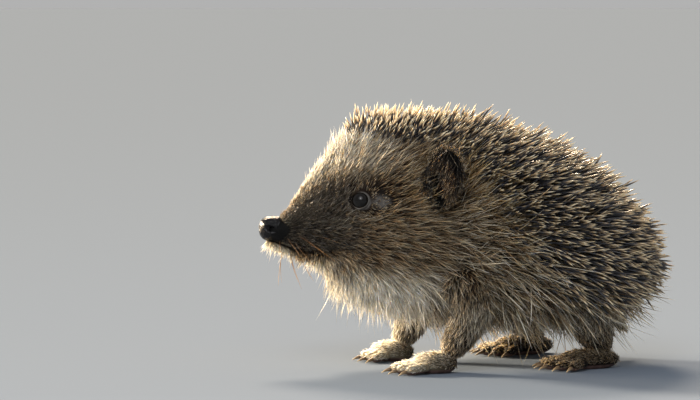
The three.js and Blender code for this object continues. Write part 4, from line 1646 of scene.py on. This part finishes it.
def tapered_material(name, stops, roughness):
    """Glossy keratin that looks a little see-through, because its colour grows paler along the
    strand from the root to the tip."""
    material, tree, shader = start_material(name)
    share = add(tree, "ShaderNodeAttribute", attribute_name="share").outputs["Fac"]
    colour = add(tree, "ShaderNodeValToRGB", {0: share}, stops).outputs[0]
    tree.links.new(colour, shader.inputs["Base Color"])
    shader.inputs["Roughness"].default_value = roughness
    return material


def angle_at_height(along, height):
    """The angle round the body's section at which it has a height, by looking along the section."""
    angles = np.linspace(0.02, np.pi - 0.02, 600)
    heights = section(np.full(len(angles), along), angles)[1]
    return angles[np.argmin(np.abs(heights - height))]


chance = np.random.default_rng(41)
rows = np.repeat(WHISKERS, 2, axis=0)
along, height, backwards, downwards, sideways, length = rows.T
side = np.tile([1.0, -1.0], len(WHISKERS))
turn = np.array([angle_at_height(*row[:2]) for row in rows]) / (2 * np.pi)
root = body_root(share_of(along), np.where(side > 0, turn, 1 - turn))
straight_back = unit(at(along + 1, 0, height) - at(along, 0, height))
outwards = side[:, None] * unit(at(along, 1, height) - at(along, 0, height))
down = np.array([0, 0, -1.0])
lean = backwards[:, None] * straight_back + downwards[:, None] * down
lean = unit(lean + sideways[:, None] * outwards)
bend = 0.18 * straight_back + 0.1 * down + 0.05 * chance.normal(size=lean.shape)
width = np.where(sideways > 0.3, FINE_WIDTH, STIFF_WIDTH)
start = root["point"] - SKIN_DEPTH * root["normal"]
build = (WHISKER_STEPS, WHISKER_TAPER, WHISKER_SIDES)
points = strands(start, lean, bend, length, width, *build, chance)
whisker = tapered_material("stiff whisker", WHISKER_STOPS, 0.3)
uv = body_map(root)
coat_piece("whiskers", points, WHISKER_STEPS, WHISKER_SIDES, whisker, uv, {})

# %% Claws
CLAW_LENGTH, CLAW_WIDTH = 3.4, 1.25
CLAW_RISE, CLAW_BEND = 0.12, 0.42  # how steeply it leaves the toe, and how much it bends down
CLAW_ROOT = 0.6  # how far inside the toe it starts, in mm
CLAW_STEPS = (0.0, 0.2, 0.45, 0.7, 0.9, 1.0)
CLAW_TAPER = (1.0, 1.0, 0.82, 0.55, 0.25, 0.0)
CLAW_SIDES = 8
CLAW_STOPS = [(0.0, "#4a3a2c"), (0.6, "#8d7658"), (1.0, "#cdb78f")]

lines = np.concatenate([toe_lines(leg) for leg in legs])
knuckle, tip = at(*lines[:, 1].T), at(*lines[:, 2].T)
lean = unit((tip - knuckle) * [1, 1, 0]) + [0, 0, CLAW_RISE]
bend = np.broadcast_to([0, 0, -CLAW_BEND], lean.shape)
start = tip - CLAW_ROOT * lean + [0, 0, 0.1]
each = np.ones(len(tip))
build = (CLAW_STEPS, CLAW_TAPER, CLAW_SIDES)
points = strands(start, lean, bend, CLAW_LENGTH * each, CLAW_WIDTH * each, *build, chance)
in_a_row = MAP_CORNER[0] + 0.01 * np.arange(len(tip))
uv = np.stack([in_a_row, (0.995 - PATCH) * each], -1)  # along the top edge of the map
horn = tapered_material("claw horn", CLAW_STOPS, 0.35)
coat_piece("claws", above_floor(points), CLAW_STEPS, CLAW_SIDES, horn, uv, {})

# %% [markdown]
# ## Floor, light and camera
#
# The floor is a wide disc of bluish grey paper, so that every view has the same plain ground. On
# the camera's side a broad disc of light stands for the sky and shows the colours, and a small one
# in front of it gives the eye its bright core. Three warm suns stand behind the animal, low and
# to the side of the nose and high over the back: they light the tips of the coat and draw its
# outline. The eyes lie under the brow, so light linking keeps the suns off them.
#
# The camera stands well off on the animal's left, some way towards its nose and barely above it.
# Its lens is worked out from how much of the head one pixel covers, and its aim from where the
# eye stands in the frame, so both can be set without trying.

# %% Floor
FLOOR_RADIUS = 90.0
bpy.ops.mesh.primitive_circle_add(vertices=128, radius=FLOOR_RADIUS, fill_type="NGON")
floor = bpy.context.object
floor.name = "floor"
floor_paper, _, floor_shader = start_material("grey matt paper")
floor_shader.inputs["Base Color"].default_value = linear("#798390")
floor_shader.inputs["Roughness"].default_value = 0.9
floor_shader.inputs["Specular IOR Level"].default_value = 0.0
floor.data.materials.append(floor_paper)

# %% Camera
VIEW_AZIMUTH, VIEW_ELEVATION = math.radians(-28), math.radians(3)
VIEW_DISTANCE = 1.2
FRAME_PIXELS = (700, 400)
PIXEL_SIZE = 0.32 * MM  # one pixel of the frame covers this much of the head
EYE_PIXEL = (361.3, 200.8)  # where the left eye stands in the frame, from its top left corner
to_camera = Vector(
    (
        math.sin(VIEW_AZIMUTH) * math.cos(VIEW_ELEVATION),
        -math.cos(VIEW_AZIMUTH) * math.cos(VIEW_ELEVATION),
        math.sin(VIEW_ELEVATION),
    )
)
view = to_camera.to_track_quat("Z", "Y")
to_right, to_top = view @ Vector((1, 0, 0)), view @ Vector((0, 1, 0))
off_middle = [EYE_PIXEL[0] - FRAME_PIXELS[0] / 2, FRAME_PIXELS[1] / 2 - EYE_PIXEL[1]]
target = (eye_low + eye_high) / 2 - PIXEL_SIZE * (off_middle[0] * to_right + off_middle[1] * to_top)
camera = bpy.data.objects.new("camera", bpy.data.cameras.new("camera"))
camera.data.sensor_width = 36.0
camera.data.lens = camera.data.sensor_width * VIEW_DISTANCE / (FRAME_PIXELS[0] * PIXEL_SIZE)
camera.data.clip_start = 0.05
camera.location = target + VIEW_DISTANCE * to_camera
camera.rotation_mode = "QUATERNION"
camera.rotation_quaternion = view
bpy.context.scene.collection.objects.link(camera)
bpy.context.scene.camera = camera
print("lens", round(camera.data.lens, 1), "mm, camera height", round(camera.location.z, 3), "m")

# %% Lights
SOFT_LIGHTS = (  # name, rightwards, upwards, nearer and size in m, watts, colour
    ("sky", -0.25, 1.2, 1.65, 1.7, 16.0, "#eceef2"),
    ("lamp", -0.25, 1.05, 1.65, 0.42, 5.5, "#f6f2ee"),
)
SUNS = (  # name, rightwards, upwards, nearer, strength, softness in degrees, colour
    ("low_sun", -0.86, 0.27, -0.56, 10.0, 8, "#ffecd0"),
    ("side_sun", -0.97, 0.12, -0.22, 4.8, 20, "#ffe2b8"),
    ("high_sun", -0.1, 0.62, -0.80, 4.5, 14, "#ffe6c8"),
)


def add_light(name, kind, offset, strength, colour):
    """A light that faces the target. Returns it with its offset, which is given rightwards, upwards
    and nearer, along the camera's own axes, with nearer laid level."""
    lamp = bpy.data.lights.new(name, kind)
    lamp.energy = strength
    lamp.color = linear(colour)[:3]
    thing = bpy.data.objects.new(name, lamp)
    rightwards, upwards, nearer = offset
    level = Vector((to_camera.x, to_camera.y, 0)).normalized()
    offset = rightwards * to_right + nearer * level + Vector((0, 0, upwards))
    thing.rotation_mode = "QUATERNION"
    thing.rotation_quaternion = offset.to_track_quat("Z", "Y")
    bpy.context.scene.collection.objects.link(thing)
    return thing, offset


for name, *offset, size, watts, colour in SOFT_LIGHTS:
    thing, offset = add_light(name, "AREA", offset, watts, colour)
    thing.data.shape = "DISK"
    thing.data.size = size
    thing.location = target + offset
in_shade = bpy.data.collections.new("eyes in the shade of the brow")
for thing in eyes.values():
    in_shade.objects.link(thing)
for member in in_shade.collection_objects:
    member.light_linking.link_state = "EXCLUDE"
for name, *offset, strength, softness, colour in SUNS:
    thing, _ = add_light(name, "SUN", offset, strength, colour)
    thing.data.angle = math.radians(softness)
    thing.light_linking.receiver_collection = in_shade

# %% World
world = bpy.data.worlds.new("studio")
world.use_nodes = True
background = world.node_tree.nodes["Background"]
background.inputs["Color"].default_value = linear("#dcdcdc")
background.inputs["Strength"].default_value = 0.62
bpy.context.scene.world = world
bpy.context.scene.view_settings.view_transform = "Standard"
